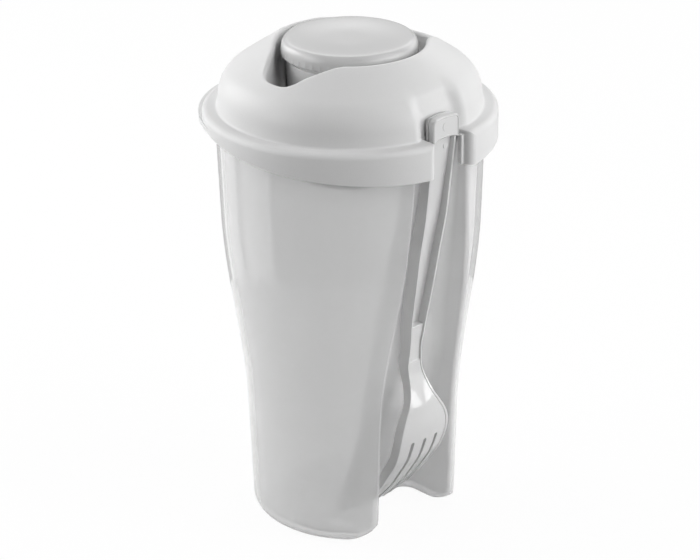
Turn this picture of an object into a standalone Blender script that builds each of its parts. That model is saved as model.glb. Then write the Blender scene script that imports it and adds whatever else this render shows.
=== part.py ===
"""A salad cup: a frosted cup with a fork groove, a domed lid, a dressing pot with a screw cap, and a fork.

The origin is the middle of the cup's base, +Z is up, and the fork stands at -Y. Lengths are in metres.
"""

from math import atan2, cos, degrees, hypot, pi, radians, sin, sqrt

import bmesh
import bpy
from mathutils import Matrix, Vector

# Fits between pieces
FIT = 0.0003
FORK_GAP = 0.0006
DENT_GAP = 0.0005
OVERLAP = 0.0005

# Cup: a round body on a straight draft, with a soft shoulder between two heights
CUP_HEIGHT = 0.1696
BASE_RADIUS = 0.0407
CUP_DRAFT_SHARE = 0.033
SHOULDER_START = 0.047
SHOULDER_END = 0.127
SHOULDER_STEP = 0.0060
CUP_WALL = 0.0018
CUP_FLOOR = 0.0022
BASE_EDGE_RADIUS = 0.005
FLOOR_EDGE_RADIUS = 0.0042
RIM_BEAD_HEIGHT = 0.0032
RIM_BEAD_DEPTH = 0.0011
RIM_CHAMFER = 0.0005

# Groove down the front of the cup
GROOVE_FOOT_HALF_WIDTH = 0.0193
GROOVE_TOP_HALF_WIDTH = 0.0128
GROOVE_DEPTH = 0.0313
GROOVE_CORNER_RADIUS = 0.0046
GROOVE_MOUTH_RADIUS = 0.0014
LEAST_FILLET = 0.0003
GROOVE_EDGE_SHARE = 0.4
NARROWING_START_SHARE = 0.35
NARROWING_END_SHARE = 1.015
GROOVE_DEPTH_SHARES = (
    (0.00, 1.000),
    (0.03, 1.000),
    (0.07, 0.960),
    (0.12, 0.843),
    (0.21, 0.687),
    (0.28, 0.585),
    (0.35, 0.546),
    (0.44, 0.484),
    (0.52, 0.508),
    (0.62, 0.479),
    (0.72, 0.424),
    (0.81, 0.318),
    (0.91, 0.233),
    (1.00, 0.160),
)

# Fork: a channel handle, a neck and a head that bows out to the front
HANDLE_DEPTH = 0.0060
HANDLE_HALF_WIDTH = 0.0060
NECK_HALF_WIDTH = 0.0027
HEAD_BOW = 0.0113
HEAD_HALF_WIDTH = 0.0130
HEAD_THICKNESS = 0.0026
HEAD_CROWN = 0.0010
CROWN_START_SHARE = 0.6
TINE_COUNT = 4
TINE_PITCH = 0.0065
SLOT_WIDTH = 0.0017
SLOT_ROOT_SHARE = 0.243
SLOT_TOP_SHARE = 0.3
SLOT_FOOT_SHARE = 0.75
TIP_SHARE = 0.25
FORK_TOP_RISE = 0.0020
FORK_FOOT_SHARE = 0.028
TIP_START_SHARE = 0.075
CHANNEL_RIM = 0.0009
CHANNEL_DEPTH_SHARE = 0.62
CHANNEL_FOOT_SHARE = 0.475
HANDLE_DEPTH_SHARES = (
    (0.028, 0.60),
    (0.208, 0.88),
    (0.428, 0.88),
    (0.470, 0.93),
    (0.510, 1.00),
    (0.720, 1.00),
    (0.814, 0.87),
    (0.908, 0.73),
    (1.000, 0.60),
)
HEAD_BOW_SHARES = (
    (0.028, 0.00),
    (0.060, 0.32),
    (0.103, 0.70),
    (0.155, 0.95),
    (0.208, 1.00),
    (0.280, 1.00),
    (0.327, 0.82),
    (0.373, 0.50),
    (0.428, 0.00),
    (0.470, 0.00),
)
HEAD_WIDTH_SHARES = (
    (0.028, 0.494),
    (0.103, 0.728),
    (0.147, 0.886),
    (0.200, 0.990),
    (0.225, 1.000),
    (0.250, 0.990),
    (0.280, 0.911),
    (0.300, 0.797),
    (0.327, 0.586),
    (0.348, 0.380),
    (0.373, 0.177),
    (0.390, 0.095),
    (0.428, 0.032),
    (0.472, 0.000),
)
HANDLE_WIDTH_SHARES = (
    (0.472, 0.00),
    (0.520, 0.01),
    (0.620, 0.31),
    (0.720, 0.62),
    (0.814, 0.91),
    (0.908, 0.97),
    (1.000, 1.00),
)
FORK_THICKNESS_SHARES = (
    (0.028, 0.60),
    (0.103, 0.85),
    (0.208, 1.00),
    (0.327, 1.05),
    (0.373, 1.15),
    (0.428, 1.55),
    (0.470, 2.00),
)
FORK_STATION_SHARES = (
    0.96, 0.88, 0.80, 0.72, 0.64, 0.56, 0.50, 0.465, 0.435, 0.41, 0.39, 0.37, 0.35, 0.33, 0.31, 0.285, 0.262,
)
TINE_STATION_SHARES = (0.21, 0.18, 0.15, 0.125, 0.10, 0.075, 0.055, 0.04, 0.031, FORK_FOOT_SHARE)

# Thumb tab at the top of the fork
TAB_HALF_WIDTH = 0.0069
TAB_STEP = 0.0008
TAB_BACK_INSET = 0.0008
TAB_HEIGHT = 0.0100
TAB_CORNER_RADIUS = 0.0028
TAB_ARCH = 0.0013

# Lid: skirt, ledge and dome
LID_WALL = 0.0016
SKIRT_GAP = 0.0022
SKIRT_FRONT_DROP = 0.0137
SKIRT_BACK_DROP = 0.0041
SKIRT_SLANT = 0.01155
SKIRT_EDGE_RADIUS = 0.0024
LEDGE_WIDTH = 0.0059
DOME_WALL_HEIGHT = 0.0050
DOME_WALL_TILT = 4.5
DOME_SHOULDER_RADIUS = 0.0141
DOME_SLOPE = 33.8
PLUG_DEPTH = 0.0051
PLUG_WALL = 0.0014
SEAL_INSET = 0.0001

# Lid: opening over the pot, finger scoops and well
OPENING_GAP = 0.0026
OPENING_LIP_RADIUS = 0.0013
SCOOP_MARGIN = 0.0022
SCOOP_CORE_ANGLE = 8.0
SCOOP_EDGE_ANGLE = 39.0
SCOOP_FLOOR_DROP = 0.0180
SHELF_UNDER_CAP = 0.0025
WELL_DEPTH = 0.0265
WELL_EDGE_RADIUS = 0.0022

# Lid: fork slot, its lips and ribs, the dent behind the fork and the lift tab
SLOT_HALF_WIDTH = 0.00865
SLOT_MOUTH_RADIUS = 0.0030
SLOT_BACK_GAP = 0.0002
SLOT_LIP_DEPTH = 0.0063
RIB_FRONT_DEPTH = 0.0042
DENT_HALF_WIDTH = 0.0074
DENT_BLEND = 0.0046
DENT_FULL_HEIGHT = 0.0115
DENT_FADE_HEIGHT = 0.0075
LIFT_TAB_REACH = 0.0048
LIFT_TAB_THICKNESS = 0.0018
LIFT_TAB_ANGLE = 72.0

# Dressing pot and its screw cap
POT_RADIUS = 0.0243
POT_DRAFT = 0.0010
POT_HEIGHT = 0.0511
POT_WALL = 0.0014
POT_FOOT_RADIUS = 0.0040
NECK_REVEAL = 0.0015
THREAD_SPACE = 0.0010
CAP_OVERHANG = 0.0019
CAP_SIDE_WALL = 0.0016
CAP_TOP_WALL = 0.0016
CAP_EDGE_RADIUS = 0.0028
CAP_DISH = 0.0005
CAP_RIB_COUNT = 50
CAP_RIB_DEPTH = 0.00028
CAP_RIB_HEIGHT = 0.0024
CAP_BAND_HEIGHT = 0.0009

# How finely round stretches are drawn
ROUND_STEPS = 16
INNER_STEPS = 12
FILLET_STEPS = 3
EDGE_STEPS = 2
TURN_STEPS = 44

# Heights that follow from the sizes above
LEDGE_TOP = CUP_HEIGHT + FIT + LID_WALL
WELL_FLOOR_TOP = LEDGE_TOP - WELL_DEPTH
POT_FOOT = WELL_FLOOR_TOP + FIT
POT_RIM = POT_FOOT + POT_HEIGHT
CAP_TOP = POT_RIM + FIT + CAP_TOP_WALL
CAP_HEIGHT = CAP_RIB_HEIGHT + CAP_RIB_DEPTH + CAP_BAND_HEIGHT + CAP_EDGE_RADIUS
CAP_FOOT = CAP_TOP - CAP_HEIGHT
SHELF_TOP = CAP_FOOT - SHELF_UNDER_CAP
NECK_HEIGHT = CAP_HEIGHT - CAP_TOP_WALL - FIT + NECK_REVEAL


# Curves and outlines

def smooth(share):
    """Ease from 0 to 1 as share goes from 0 to 1."""
    share = min(max(share, 0.0), 1.0)
    return share * share * (3.0 - 2.0 * share)


def along(stations, place):
    """Read a table of (place, value) stations as a smooth curve."""
    if place <= stations[0][0]:
        return stations[0][1]
    if place >= stations[-1][0]:
        return stations[-1][1]
    index = 0
    while place > stations[index + 1][0]:
        index += 1
    start, start_value = stations[index]
    end, end_value = stations[index + 1]
    span = end - start
    before = stations[max(index - 1, 0)]
    after = stations[min(index + 2, len(stations) - 1)]
    start_slope = (end_value - before[1]) / (end - before[0])
    end_slope = (after[1] - start_value) / (after[0] - start)
    step = (place - start) / span
    square = step * step
    cube = square * step
    value = (2.0 * cube - 3.0 * square + 1.0) * start_value
    value += (cube - 2.0 * square + step) * span * start_slope
    value += (3.0 * square - 2.0 * cube) * end_value
    value += (cube - square) * span * end_slope
    return value


def arc(centre, radius, start, end, steps):
    """Points on an arc in a plane, with angles in radians from the first axis."""
    points = []
    for index in range(steps + 1):
        angle = start + (end - start) * index / steps
        points.append((centre[0] + radius * cos(angle), centre[1] + radius * sin(angle)))
    return points


def cup_radius(height):
    """Outer radius of the cup's round part."""
    shoulder = smooth((height - SHOULDER_START) / (SHOULDER_END - SHOULDER_START))
    return BASE_RADIUS + CUP_DRAFT_SHARE * height + SHOULDER_STEP * shoulder


def groove_sizes(height):
    """Half width of the groove at a height, and the distance of its back wall from the axis."""
    share = height / CUP_HEIGHT
    narrow = smooth((share - NARROWING_START_SHARE) / (NARROWING_END_SHARE - NARROWING_START_SHARE))
    half_width = GROOVE_FOOT_HALF_WIDTH + (GROOVE_TOP_HALF_WIDTH - GROOVE_FOOT_HALF_WIDTH) * narrow
    back = cup_radius(height) - GROOVE_DEPTH * along(GROOVE_DEPTH_SHARES, share)
    return half_width, back


# Radii that follow from the sizes above
CAP_RADIUS = POT_RADIUS + CAP_OVERHANG
OPENING_RADIUS = CAP_RADIUS + CAP_RIB_DEPTH + OPENING_GAP
SKIRT_RADIUS = cup_radius(CUP_HEIGHT) + RIM_BEAD_DEPTH + SKIRT_GAP + LID_WALL
DOME_FOOT_RADIUS = SKIRT_RADIUS - LEDGE_WIDTH


def grooved_outline(radius, half_width, back, corner, mouth):
    """Plan outline of a circle with a round-cornered groove at -Y, from +Y round by +X and -X."""
    mouth = max(mouth, LEAST_FILLET)
    centre_x = half_width + mouth
    centre_y = sqrt((radius - mouth) ** 2 - centre_x ** 2)
    corner = max(min(corner, (centre_y - back) / 2.0, half_width / 2.0), LEAST_FILLET)
    mouth_angle = atan2(centre_x, centre_y)
    right = []
    for index in range(ROUND_STEPS + 1):
        angle = pi + (mouth_angle - pi) * index / ROUND_STEPS
        right.append((radius * sin(angle), -radius * cos(angle)))
    for index in range(1, FILLET_STEPS + 1):
        angle = mouth_angle - (mouth_angle + pi / 2.0) * index / FILLET_STEPS
        right.append((centre_x + mouth * sin(angle), -centre_y - mouth * cos(angle)))
    right += arc((half_width - corner, -back - corner), corner, 0.0, pi / 2.0, FILLET_STEPS)
    left = [(-x, y) for x, y in reversed(right[1:])]
    return right + [(0.0, -back)] + left


def cup_outline(height, inset, groove_inset):
    """The cup's outline at a height, with its round part and its groove moved into the material."""
    half_width, back = groove_sizes(height)
    return grooved_outline(
        cup_radius(height) - inset,
        half_width + groove_inset,
        back - groove_inset,
        GROOVE_CORNER_RADIUS + groove_inset,
        GROOVE_MOUTH_RADIUS - groove_inset,
    )


# Mesh helpers

def add_object(name, bm, material):
    """Make an object from a bmesh, smooth except at its sharp edges."""
    bmesh.ops.recalc_face_normals(bm, faces=bm.faces)
    mesh = bpy.data.meshes.new(name)
    bm.to_mesh(mesh)
    bm.free()
    mesh.shade_smooth()
    mesh.set_sharp_from_angle(angle=radians(35.0))
    if material is not None:
        mesh.materials.append(material)
    item = bpy.data.objects.new(name, mesh)
    bpy.context.scene.collection.objects.link(item)
    return item


def loft(bm, rings):
    """Join rings of equally many points into one closed body with flat ends."""
    loops = [[bm.verts.new(point) for point in ring] for ring in rings]
    count = len(loops[0])
    for lower, upper in zip(loops, loops[1:]):
        for index in range(count):
            following = (index + 1) % count
            bm.faces.new((lower[index], lower[following], upper[following], upper[index]))
    bm.faces.new(loops[0])
    bm.faces.new(loops[-1])


def turned(bm, profile, steps):
    """Turn a profile of (radius, height) points about the Z axis; its ends lie on the axis."""
    verts = [bm.verts.new((radius, 0.0, height)) for radius, height in profile]
    edges = [bm.edges.new(pair) for pair in zip(verts, verts[1:])]
    bmesh.ops.spin(
        bm,
        geom=verts + edges,
        cent=(0.0, 0.0, 0.0),
        axis=(0.0, 0.0, 1.0),
        angle=2.0 * pi,
        steps=steps,
        use_merge=True,
    )
    bmesh.ops.remove_doubles(bm, verts=bm.verts, dist=FIT / 100.0)


def prism(bm, outline, bottom, top):
    """Extrude a plan outline between two heights."""
    face = bm.faces.new([bm.verts.new((x, y, bottom)) for x, y in outline])
    grown = bmesh.ops.extrude_face_region(bm, geom=[face])
    risen = [item for item in grown["geom"] if isinstance(item, bmesh.types.BMVert)]
    bmesh.ops.translate(bm, verts=risen, vec=(0.0, 0.0, top - bottom))


def tool(name, bm):
    """An object that only shapes another one."""
    item = add_object(name, bm, None)
    item.hide_render = True
    item.display_type = "WIRE"
    return item


def shape(item, cutter, operation):
    """Cut or join with a Boolean modifier."""
    modifier = item.modifiers.new(cutter.name, "BOOLEAN")
    modifier.operation = operation
    modifier.solver = "EXACT"
    modifier.object = cutter


def plastic(name, colour, roughness, alpha):
    """A plastic's material."""
    material = bpy.data.materials.new(name)
    material.use_nodes = True
    shader = material.node_tree.nodes["Principled BSDF"]
    shader.inputs["Base Color"].default_value = (*colour, 1.0)
    shader.inputs["Roughness"].default_value = roughness
    shader.inputs["Metallic"].default_value = 0.0
    shader.inputs["Alpha"].default_value = alpha
    material.diffuse_color = (*colour, alpha)
    return material


# Cup

def cup_levels():
    """(height, outward growth of the round part) down the outside, above the base edge."""
    levels = []
    straight = CUP_HEIGHT - RIM_BEAD_HEIGHT - BASE_EDGE_RADIUS
    steps = ROUND_STEPS
    for index in range(1, steps + 1):
        levels.append((BASE_EDGE_RADIUS + straight * index / steps, 0.0))
    bead = CUP_HEIGHT - RIM_BEAD_HEIGHT
    levels.append((bead + RIM_BEAD_DEPTH, RIM_BEAD_DEPTH))
    levels.append((CUP_HEIGHT - RIM_CHAMFER, RIM_BEAD_DEPTH))
    levels.append((CUP_HEIGHT, RIM_BEAD_DEPTH - RIM_CHAMFER))
    return levels


def make_cup():
    """Loft the outside up, turn in at the rim, and loft the inside down to the floor."""
    rings = []

    def add_ring(height, outline):
        rings.append([(x, y, height) for x, y in outline])

    for index in range(FILLET_STEPS + 2):
        angle = pi / 2.0 * index / (FILLET_STEPS + 1)
        inset = BASE_EDGE_RADIUS * (1.0 - sin(angle))
        height = BASE_EDGE_RADIUS * (1.0 - cos(angle))
        add_ring(height, cup_outline(height, inset, inset * GROOVE_EDGE_SHARE))
    for height, growth in cup_levels():
        add_ring(height, cup_outline(height, -growth, 0.0))
    add_ring(CUP_HEIGHT, cup_outline(CUP_HEIGHT, CUP_WALL - RIM_CHAMFER, CUP_WALL - RIM_CHAMFER))
    add_ring(CUP_HEIGHT - RIM_CHAMFER, cup_outline(CUP_HEIGHT - RIM_CHAMFER, CUP_WALL, CUP_WALL))
    floor_edge = CUP_FLOOR + FLOOR_EDGE_RADIUS
    inner = CUP_HEIGHT - RIM_BEAD_HEIGHT - floor_edge
    for index in range(INNER_STEPS):
        height = floor_edge + inner * (INNER_STEPS - index) / INNER_STEPS
        add_ring(height, cup_outline(height, CUP_WALL, CUP_WALL))
    for index in range(FILLET_STEPS + 1):
        angle = pi / 2.0 * index / FILLET_STEPS
        inset = FLOOR_EDGE_RADIUS * (1.0 - cos(angle))
        height = floor_edge - FLOOR_EDGE_RADIUS * sin(angle)
        add_ring(height, cup_outline(height, CUP_WALL + inset, CUP_WALL + inset * GROOVE_EDGE_SHARE))
    bm = bmesh.new()
    loft(bm, rings)
    return add_object("cup", bm, plastic("cup", (0.70, 0.70, 0.70), 0.22, 0.60))


# Fork

def fork_back(height):
    """Distance from the axis of the line that the handle's back follows."""
    return groove_sizes(min(height, CUP_HEIGHT))[1] + FORK_GAP


def fork_front(height):
    """Distance from the axis of the fork's front face."""
    share = height / CUP_HEIGHT
    handle = HANDLE_DEPTH * along(HANDLE_DEPTH_SHARES, share)
    return fork_back(height) + handle + HEAD_BOW * along(HEAD_BOW_SHARES, share)


def fork_half_width(height):
    """Half the fork's width at a height."""
    share = height / CUP_HEIGHT
    head = (HEAD_HALF_WIDTH - NECK_HALF_WIDTH) * along(HEAD_WIDTH_SHARES, share)
    handle = (HANDLE_HALF_WIDTH - NECK_HALF_WIDTH) * along(HANDLE_WIDTH_SHARES, share)
    return NECK_HALF_WIDTH + head + handle


def fork_thickness(height):
    """Thickness of the fork, which is the full depth along the handle."""
    share = height / CUP_HEIGHT
    handle = fork_front(height) - fork_back(height)
    if share >= FORK_THICKNESS_SHARES[-1][0]:
        return handle
    return min(HEAD_THICKNESS * along(FORK_THICKNESS_SHARES, share), handle)


def fork_place(across, depth, height):
    """Bend a flat fork's point onto the fork's line, depth being measured into the fork."""
    step = CUP_HEIGHT / 400.0
    slope = (fork_front(height + step) - fork_front(height - step)) / (2.0 * step)
    length = hypot(1.0, slope)
    if height / CUP_HEIGHT > FORK_THICKNESS_SHARES[-1][0]:
        length = 1.0
        slope = 0.0
    front = fork_front(height) - depth / length
    return Vector((across, -front, height + depth * slope / length))


def tine_columns(height):
    """Across places of the tines' edges at a height, from one side of the head to the other."""
    share = height / CUP_HEIGHT
    half_width = fork_half_width(height)
    spread = half_width / HEAD_HALF_WIDTH
    root = SLOT_ROOT_SHARE * CUP_HEIGHT
    open_length = SLOT_WIDTH / 2.0
    below_root = min(max((root - height) / open_length, 0.0), 1.0)
    opened_share = SLOT_TOP_SHARE + (1.0 - SLOT_TOP_SHARE) * sqrt(1.0 - (1.0 - below_root) ** 2)
    half_slot = SLOT_WIDTH * opened_share * max(spread, SLOT_FOOT_SHARE) / 2.0
    edges = [-half_width]
    for index in range(TINE_COUNT - 1):
        middle = (index - (TINE_COUNT - 2) / 2.0) * TINE_PITCH * spread
        edges += [middle - half_slot, middle + half_slot]
    edges.append(half_width)
    tip = (share - FORK_FOOT_SHARE) / (TIP_START_SHARE - FORK_FOOT_SHARE)
    if tip < 1.0:
        narrowed = []
        keep = TIP_SHARE + (1.0 - TIP_SHARE) * sqrt(max(1.0 - (1.0 - tip) ** 2, 0.0))
        for start, end in zip(edges[0::2], edges[1::2]):
            middle = (start + end) / 2.0
            half = (end - start) / 2.0 * keep
            narrowed += [middle - half, middle + half]
        edges = narrowed
    return edges


def fork_heights():
    """Stations down the fork, closer together at the neck, the slot roots and the tips."""
    root = SLOT_ROOT_SHARE * CUP_HEIGHT
    heights = [CUP_HEIGHT + FORK_TOP_RISE, CUP_HEIGHT]
    heights += [share * CUP_HEIGHT for share in FORK_STATION_SHARES]
    heights += [root, root - SLOT_WIDTH / 10.0, root - SLOT_WIDTH / 2.0]
    heights += [share * CUP_HEIGHT for share in TINE_STATION_SHARES]
    return heights


def make_fork_blank(bm):
    """A grid of cells across and down the fork, front and back, left open at the slots."""
    heights = fork_heights()
    root = SLOT_ROOT_SHARE * CUP_HEIGHT
    columns = 2 * TINE_COUNT
    front = []
    back = []
    for height in heights:
        edges = tine_columns(height)
        half_width = max(edges[-1], FIT)
        thickness = fork_thickness(height)
        crown = HEAD_CROWN * smooth(2.0 * half_width / HEAD_HALF_WIDTH - CROWN_START_SHARE)
        sag = [crown * (edge / half_width) ** 2 for edge in edges]
        front.append([bm.verts.new(fork_place(x, s, height)) for x, s in zip(edges, sag)])
        back.append([bm.verts.new(fork_place(x, thickness + s, height)) for x, s in zip(edges, sag)])

    def solid(row, column):
        if row < 0 or row >= len(heights) - 1 or column < 0 or column >= columns - 1:
            return False
        return column % 2 == 0 or heights[row] > root + FIT / 10.0

    for row in range(len(heights) - 1):
        for column in range(columns - 1):
            if not solid(row, column):
                continue
            a, b = (row, column), (row, column + 1)
            c, d = (row + 1, column + 1), (row + 1, column)
            bm.faces.new([front[i][j] for i, j in (a, b, c, d)])
            bm.faces.new([back[i][j] for i, j in (d, c, b, a)])
            sides = (((row - 1, column), a, b), ((row, column + 1), b, c))
            sides += (((row + 1, column), c, d), ((row, column - 1), d, a))
            for neighbour, start, end in sides:
                if not solid(*neighbour):
                    corners = (front[end[0]][end[1]], front[start[0]][start[1]])
                    corners += (back[start[0]][start[1]], back[end[0]][end[1]])
                    bm.faces.new(corners)


def channel_tool():
    """The handle's front channel, lofted down the fork's line between two thin rims."""
    bm = bmesh.new()
    rings = []
    top = CUP_HEIGHT - TAB_ARCH
    foot = CHANNEL_FOOT_SHARE * CUP_HEIGHT
    count = 8
    for index in range(count + 1):
        height = top + (foot - top) * index / count
        half = fork_half_width(height) - CHANNEL_RIM
        depth = (fork_front(height) - fork_back(height)) * CHANNEL_DEPTH_SHARE
        front = fork_front(height) + HANDLE_DEPTH
        floor = fork_front(height) - depth
        outline = ((-half, -front), (half, -front), (half, -floor), (-half, -floor))
        rings.append([(x, y, height) for x, y in outline])
    loft(bm, rings)
    return tool("channel_tool", bm)


def tab_front():
    """Distance from the axis of the thumb tab's front face."""
    return fork_front(CUP_HEIGHT) + TAB_STEP


def tab_tool():
    """The thumb tab: a plate with round upper corners and an arched lower edge."""
    bm = bmesh.new()
    bottom = CUP_HEIGHT
    top = bottom + TAB_HEIGHT
    inner = TAB_HALF_WIDTH - TAB_CORNER_RADIUS
    shoulder = top - TAB_CORNER_RADIUS
    outline = arc((inner, shoulder), TAB_CORNER_RADIUS, 0.0, pi / 2.0, FILLET_STEPS)
    outline += arc((-inner, shoulder), TAB_CORNER_RADIUS, pi / 2.0, pi, FILLET_STEPS)
    chord = TAB_HALF_WIDTH
    arch_radius = (chord * chord + TAB_ARCH * TAB_ARCH) / (2.0 * TAB_ARCH)
    swing = atan2(chord, arch_radius - TAB_ARCH)
    centre = (0.0, bottom + TAB_ARCH - arch_radius)
    outline += arc(centre, arch_radius, pi / 2.0 + swing, pi / 2.0 - swing, 2 * FILLET_STEPS)
    front = [(x, -tab_front(), z) for x, z in outline]
    back = [(x, -fork_back(bottom) - TAB_BACK_INSET, z) for x, z in outline]
    loft(bm, [front, back])
    return tool("tab_tool", bm)


def make_fork():
    """The fork: bent blank, channel cut out, thumb tab joined on."""
    bm = bmesh.new()
    make_fork_blank(bm)
    fork = add_object("fork", bm, plastic("fork", (0.80, 0.80, 0.80), 0.18, 1.0))
    shape(fork, channel_tool(), "DIFFERENCE")
    shape(fork, tab_tool(), "UNION")
    return fork


# Lid

def skirt_bottom(angle):
    """Height of the skirt's slanted lower edge, with angle measured from the fork."""
    front = LEDGE_TOP - SKIRT_FRONT_DROP
    back = LEDGE_TOP - SKIRT_BACK_DROP
    return min(front + SKIRT_SLANT * (1.0 - cos(angle)) / 2.0, back)


def scoop_share(angle):
    """How fully the finger scoops at +X and -X reach at an angle from the fork."""
    away = abs(abs(degrees(angle)) - 90.0)
    return smooth((SCOOP_EDGE_ANGLE - away) / (SCOOP_EDGE_ANGLE - SCOOP_CORE_ANGLE))


def well_radius(height):
    """Inner radius of the well, which follows the pot's draft with a fit."""
    share = (height - POT_FOOT) / POT_HEIGHT
    return POT_RADIUS - POT_DRAFT * (1.0 - share) + FIT


def dome_shoulder():
    """Centre of the dome's shoulder arc and the ends of its sweep."""
    tilt = radians(DOME_WALL_TILT)
    start_radius = DOME_FOOT_RADIUS - DOME_WALL_HEIGHT * sin(tilt) / cos(tilt)
    start_height = LEDGE_TOP + DOME_WALL_HEIGHT
    centre = (start_radius - DOME_SHOULDER_RADIUS * cos(tilt), start_height - DOME_SHOULDER_RADIUS * sin(tilt))
    return centre, tilt, pi / 2.0 - radians(DOME_SLOPE)


def cone_height(radius):
    """Height of the dome's straight upper slope at a radius."""
    centre, _, end = dome_shoulder()
    top_radius = centre[0] + DOME_SHOULDER_RADIUS * cos(end)
    top_height = centre[1] + DOME_SHOULDER_RADIUS * sin(end)
    slope = radians(DOME_SLOPE)
    return top_height + (top_radius - radius) * sin(slope) / cos(slope)


def lid_profile(angle):
    """(radius, height) points of the lid's upper face at an angle, from the skirt to the well's floor."""
    edge = SKIRT_EDGE_RADIUS
    points = [(SKIRT_RADIUS, skirt_bottom(angle))]
    points += arc((SKIRT_RADIUS - edge, LEDGE_TOP - edge), edge, 0.0, pi / 2.0, EDGE_STEPS)
    points.append((DOME_FOOT_RADIUS, LEDGE_TOP))
    centre, start, end = dome_shoulder()
    points += arc(centre, DOME_SHOULDER_RADIUS, start, end, FILLET_STEPS)

    reach = scoop_share(angle)
    lip = OPENING_LIP_RADIUS
    slope = radians(DOME_SLOPE)
    scoop_edge = centre[0] + DOME_SHOULDER_RADIUS * cos(end) - SCOOP_MARGIN - lip
    opening = OPENING_RADIUS + (scoop_edge - OPENING_RADIUS) * reach
    lip_start = opening + lip * (1.0 + sin(slope))
    lip_centre = (opening + lip, cone_height(lip_start) - lip * cos(slope))
    points += arc(lip_centre, lip, pi / 2.0 - slope, pi, FILLET_STEPS)

    shelf_radius = well_radius(SHELF_TOP) + WELL_EDGE_RADIUS
    shelf = SHELF_TOP - SCOOP_FLOOR_DROP * reach
    bowl_steps = FILLET_STEPS + 1
    for index in range(1, bowl_steps + 1):
        turn = pi / 2.0 * index / bowl_steps
        radius = shelf_radius + (opening - shelf_radius) * cos(turn)
        height = lip_centre[1] - (lip_centre[1] - shelf) * sin(turn)
        points.append((radius, height))
    round_centre = (shelf_radius, shelf - WELL_EDGE_RADIUS)
    points += arc(round_centre, WELL_EDGE_RADIUS, pi / 2.0, pi, EDGE_STEPS)[1:]

    floor = POT_FOOT_RADIUS + FIT
    low = WELL_FLOOR_TOP + floor
    points += arc((well_radius(low) - floor, low), floor, 0.0, -pi / 2.0, FILLET_STEPS)
    return points


def dent_depth(across, height):
    """How far the dome is pressed in behind the fork."""
    side = smooth((DENT_HALF_WIDTH + DENT_BLEND - abs(across)) / DENT_BLEND)
    above = height - LEDGE_TOP - DENT_FULL_HEIGHT
    fade = 1.0 - smooth(above / DENT_FADE_HEIGHT)
    depth = DOME_FOOT_RADIUS - fork_back(CUP_HEIGHT) + DENT_GAP
    return depth * side * fade


def lid_angles():
    """Angles round the lid, closer together at the dent behind the fork."""
    half = [0.0, 3.0, 6.0, 9.0, 12.0, 15.5, 20.0, 28.0, 40.0]
    half += [52.0 + 5.0 * index for index in range(16)]
    half += [138.0, 152.0, 166.0]
    angles = half + [180.0] + [-angle for angle in reversed(half[1:])]
    return [radians(angle) for angle in angles]


def make_lid_sheet():
    """The lid's upper face, one profile at each angle, given its wall by Solidify."""
    bm = bmesh.new()
    columns = []
    dome_rows = range(EDGE_STEPS + 2, EDGE_STEPS + FILLET_STEPS + 4)
    for angle in lid_angles():
        column = []
        for row, (radius, height) in enumerate(lid_profile(angle)):
            x = radius * sin(angle)
            y = -radius * cos(angle)
            if row in dome_rows and cos(angle) > 0.0:
                y += dent_depth(x, height)
            column.append(bm.verts.new((x, y, height)))
        columns.append(column)
    for index, column in enumerate(columns):
        following = columns[(index + 1) % len(columns)]
        for row in range(len(column) - 1):
            bm.faces.new((column[row], following[row], following[row + 1], column[row + 1]))
    bm.faces.new([column[-1] for column in columns])
    bm.normal_update()
    top_face = max(bm.faces, key=lambda face: abs(face.normal.z) * face.calc_area())
    if top_face.normal.z < 0.0:
        bmesh.ops.reverse_faces(bm, faces=bm.faces)
    mesh = bpy.data.meshes.new("dome_lid")
    bm.to_mesh(mesh)
    bm.free()
    mesh.shade_smooth()
    mesh.set_sharp_from_angle(angle=radians(35.0))
    mesh.materials.append(plastic("dome_lid", (0.78, 0.78, 0.78), 0.55, 1.0))
    lid = bpy.data.objects.new("dome_lid", mesh)
    bpy.context.scene.collection.objects.link(lid)
    wall = lid.modifiers.new("wall", "SOLIDIFY")
    wall.thickness = LID_WALL
    wall.offset = -1.0
    wall.use_even_offset = True
    return lid


def seal_tool():
    """The plug that enters the cup's mouth, and the plate that closes the lid over the groove."""
    bottom = CUP_HEIGHT - PLUG_DEPTH
    outer = cup_outline(bottom, CUP_WALL + FIT, CUP_WALL + FIT)
    inner = cup_outline(bottom, CUP_WALL + FIT + PLUG_WALL, CUP_WALL + FIT + PLUG_WALL)
    plate_bottom = CUP_HEIGHT + FIT + SEAL_INSET
    plate_top = LEDGE_TOP - SEAL_INSET
    plug = bmesh.new()
    plug_top = plate_bottom + OVERLAP
    rings = [[plug.verts.new((x, y, z)) for x, y in outline] for outline, z in (
        (outer, bottom),
        (outer, plug_top),
        (inner, plug_top),
        (inner, bottom),
    )]
    count = len(outer)
    for here, there in zip(rings, rings[1:] + rings[:1]):
        for index in range(count):
            following = (index + 1) % count
            plug.faces.new((here[index], here[following], there[following], there[index]))
    plug_item = tool("plug_tool", plug)

    plate = bmesh.new()
    plate_radius = (DOME_FOOT_RADIUS + SKIRT_RADIUS - SKIRT_EDGE_RADIUS) / 2.0
    edges = []
    loops = [inner, arc((0.0, 0.0), plate_radius, 0.0, 2.0 * pi, TURN_STEPS)[:-1]]
    for loop in loops:
        verts = [plate.verts.new((x, y, plate_bottom)) for x, y in loop]
        edges += [plate.edges.new(pair) for pair in zip(verts, verts[1:] + verts[:1])]
    bmesh.ops.triangle_fill(plate, use_beauty=True, edges=edges, normal=(0.0, 0.0, 1.0))
    grown = bmesh.ops.extrude_face_region(plate, geom=plate.faces[:])
    risen = [item for item in grown["geom"] if isinstance(item, bmesh.types.BMVert)]
    bmesh.ops.translate(plate, verts=risen, vec=(0.0, 0.0, plate_top - plate_bottom))
    return plug_item, tool("plate_tool", plate)


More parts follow.
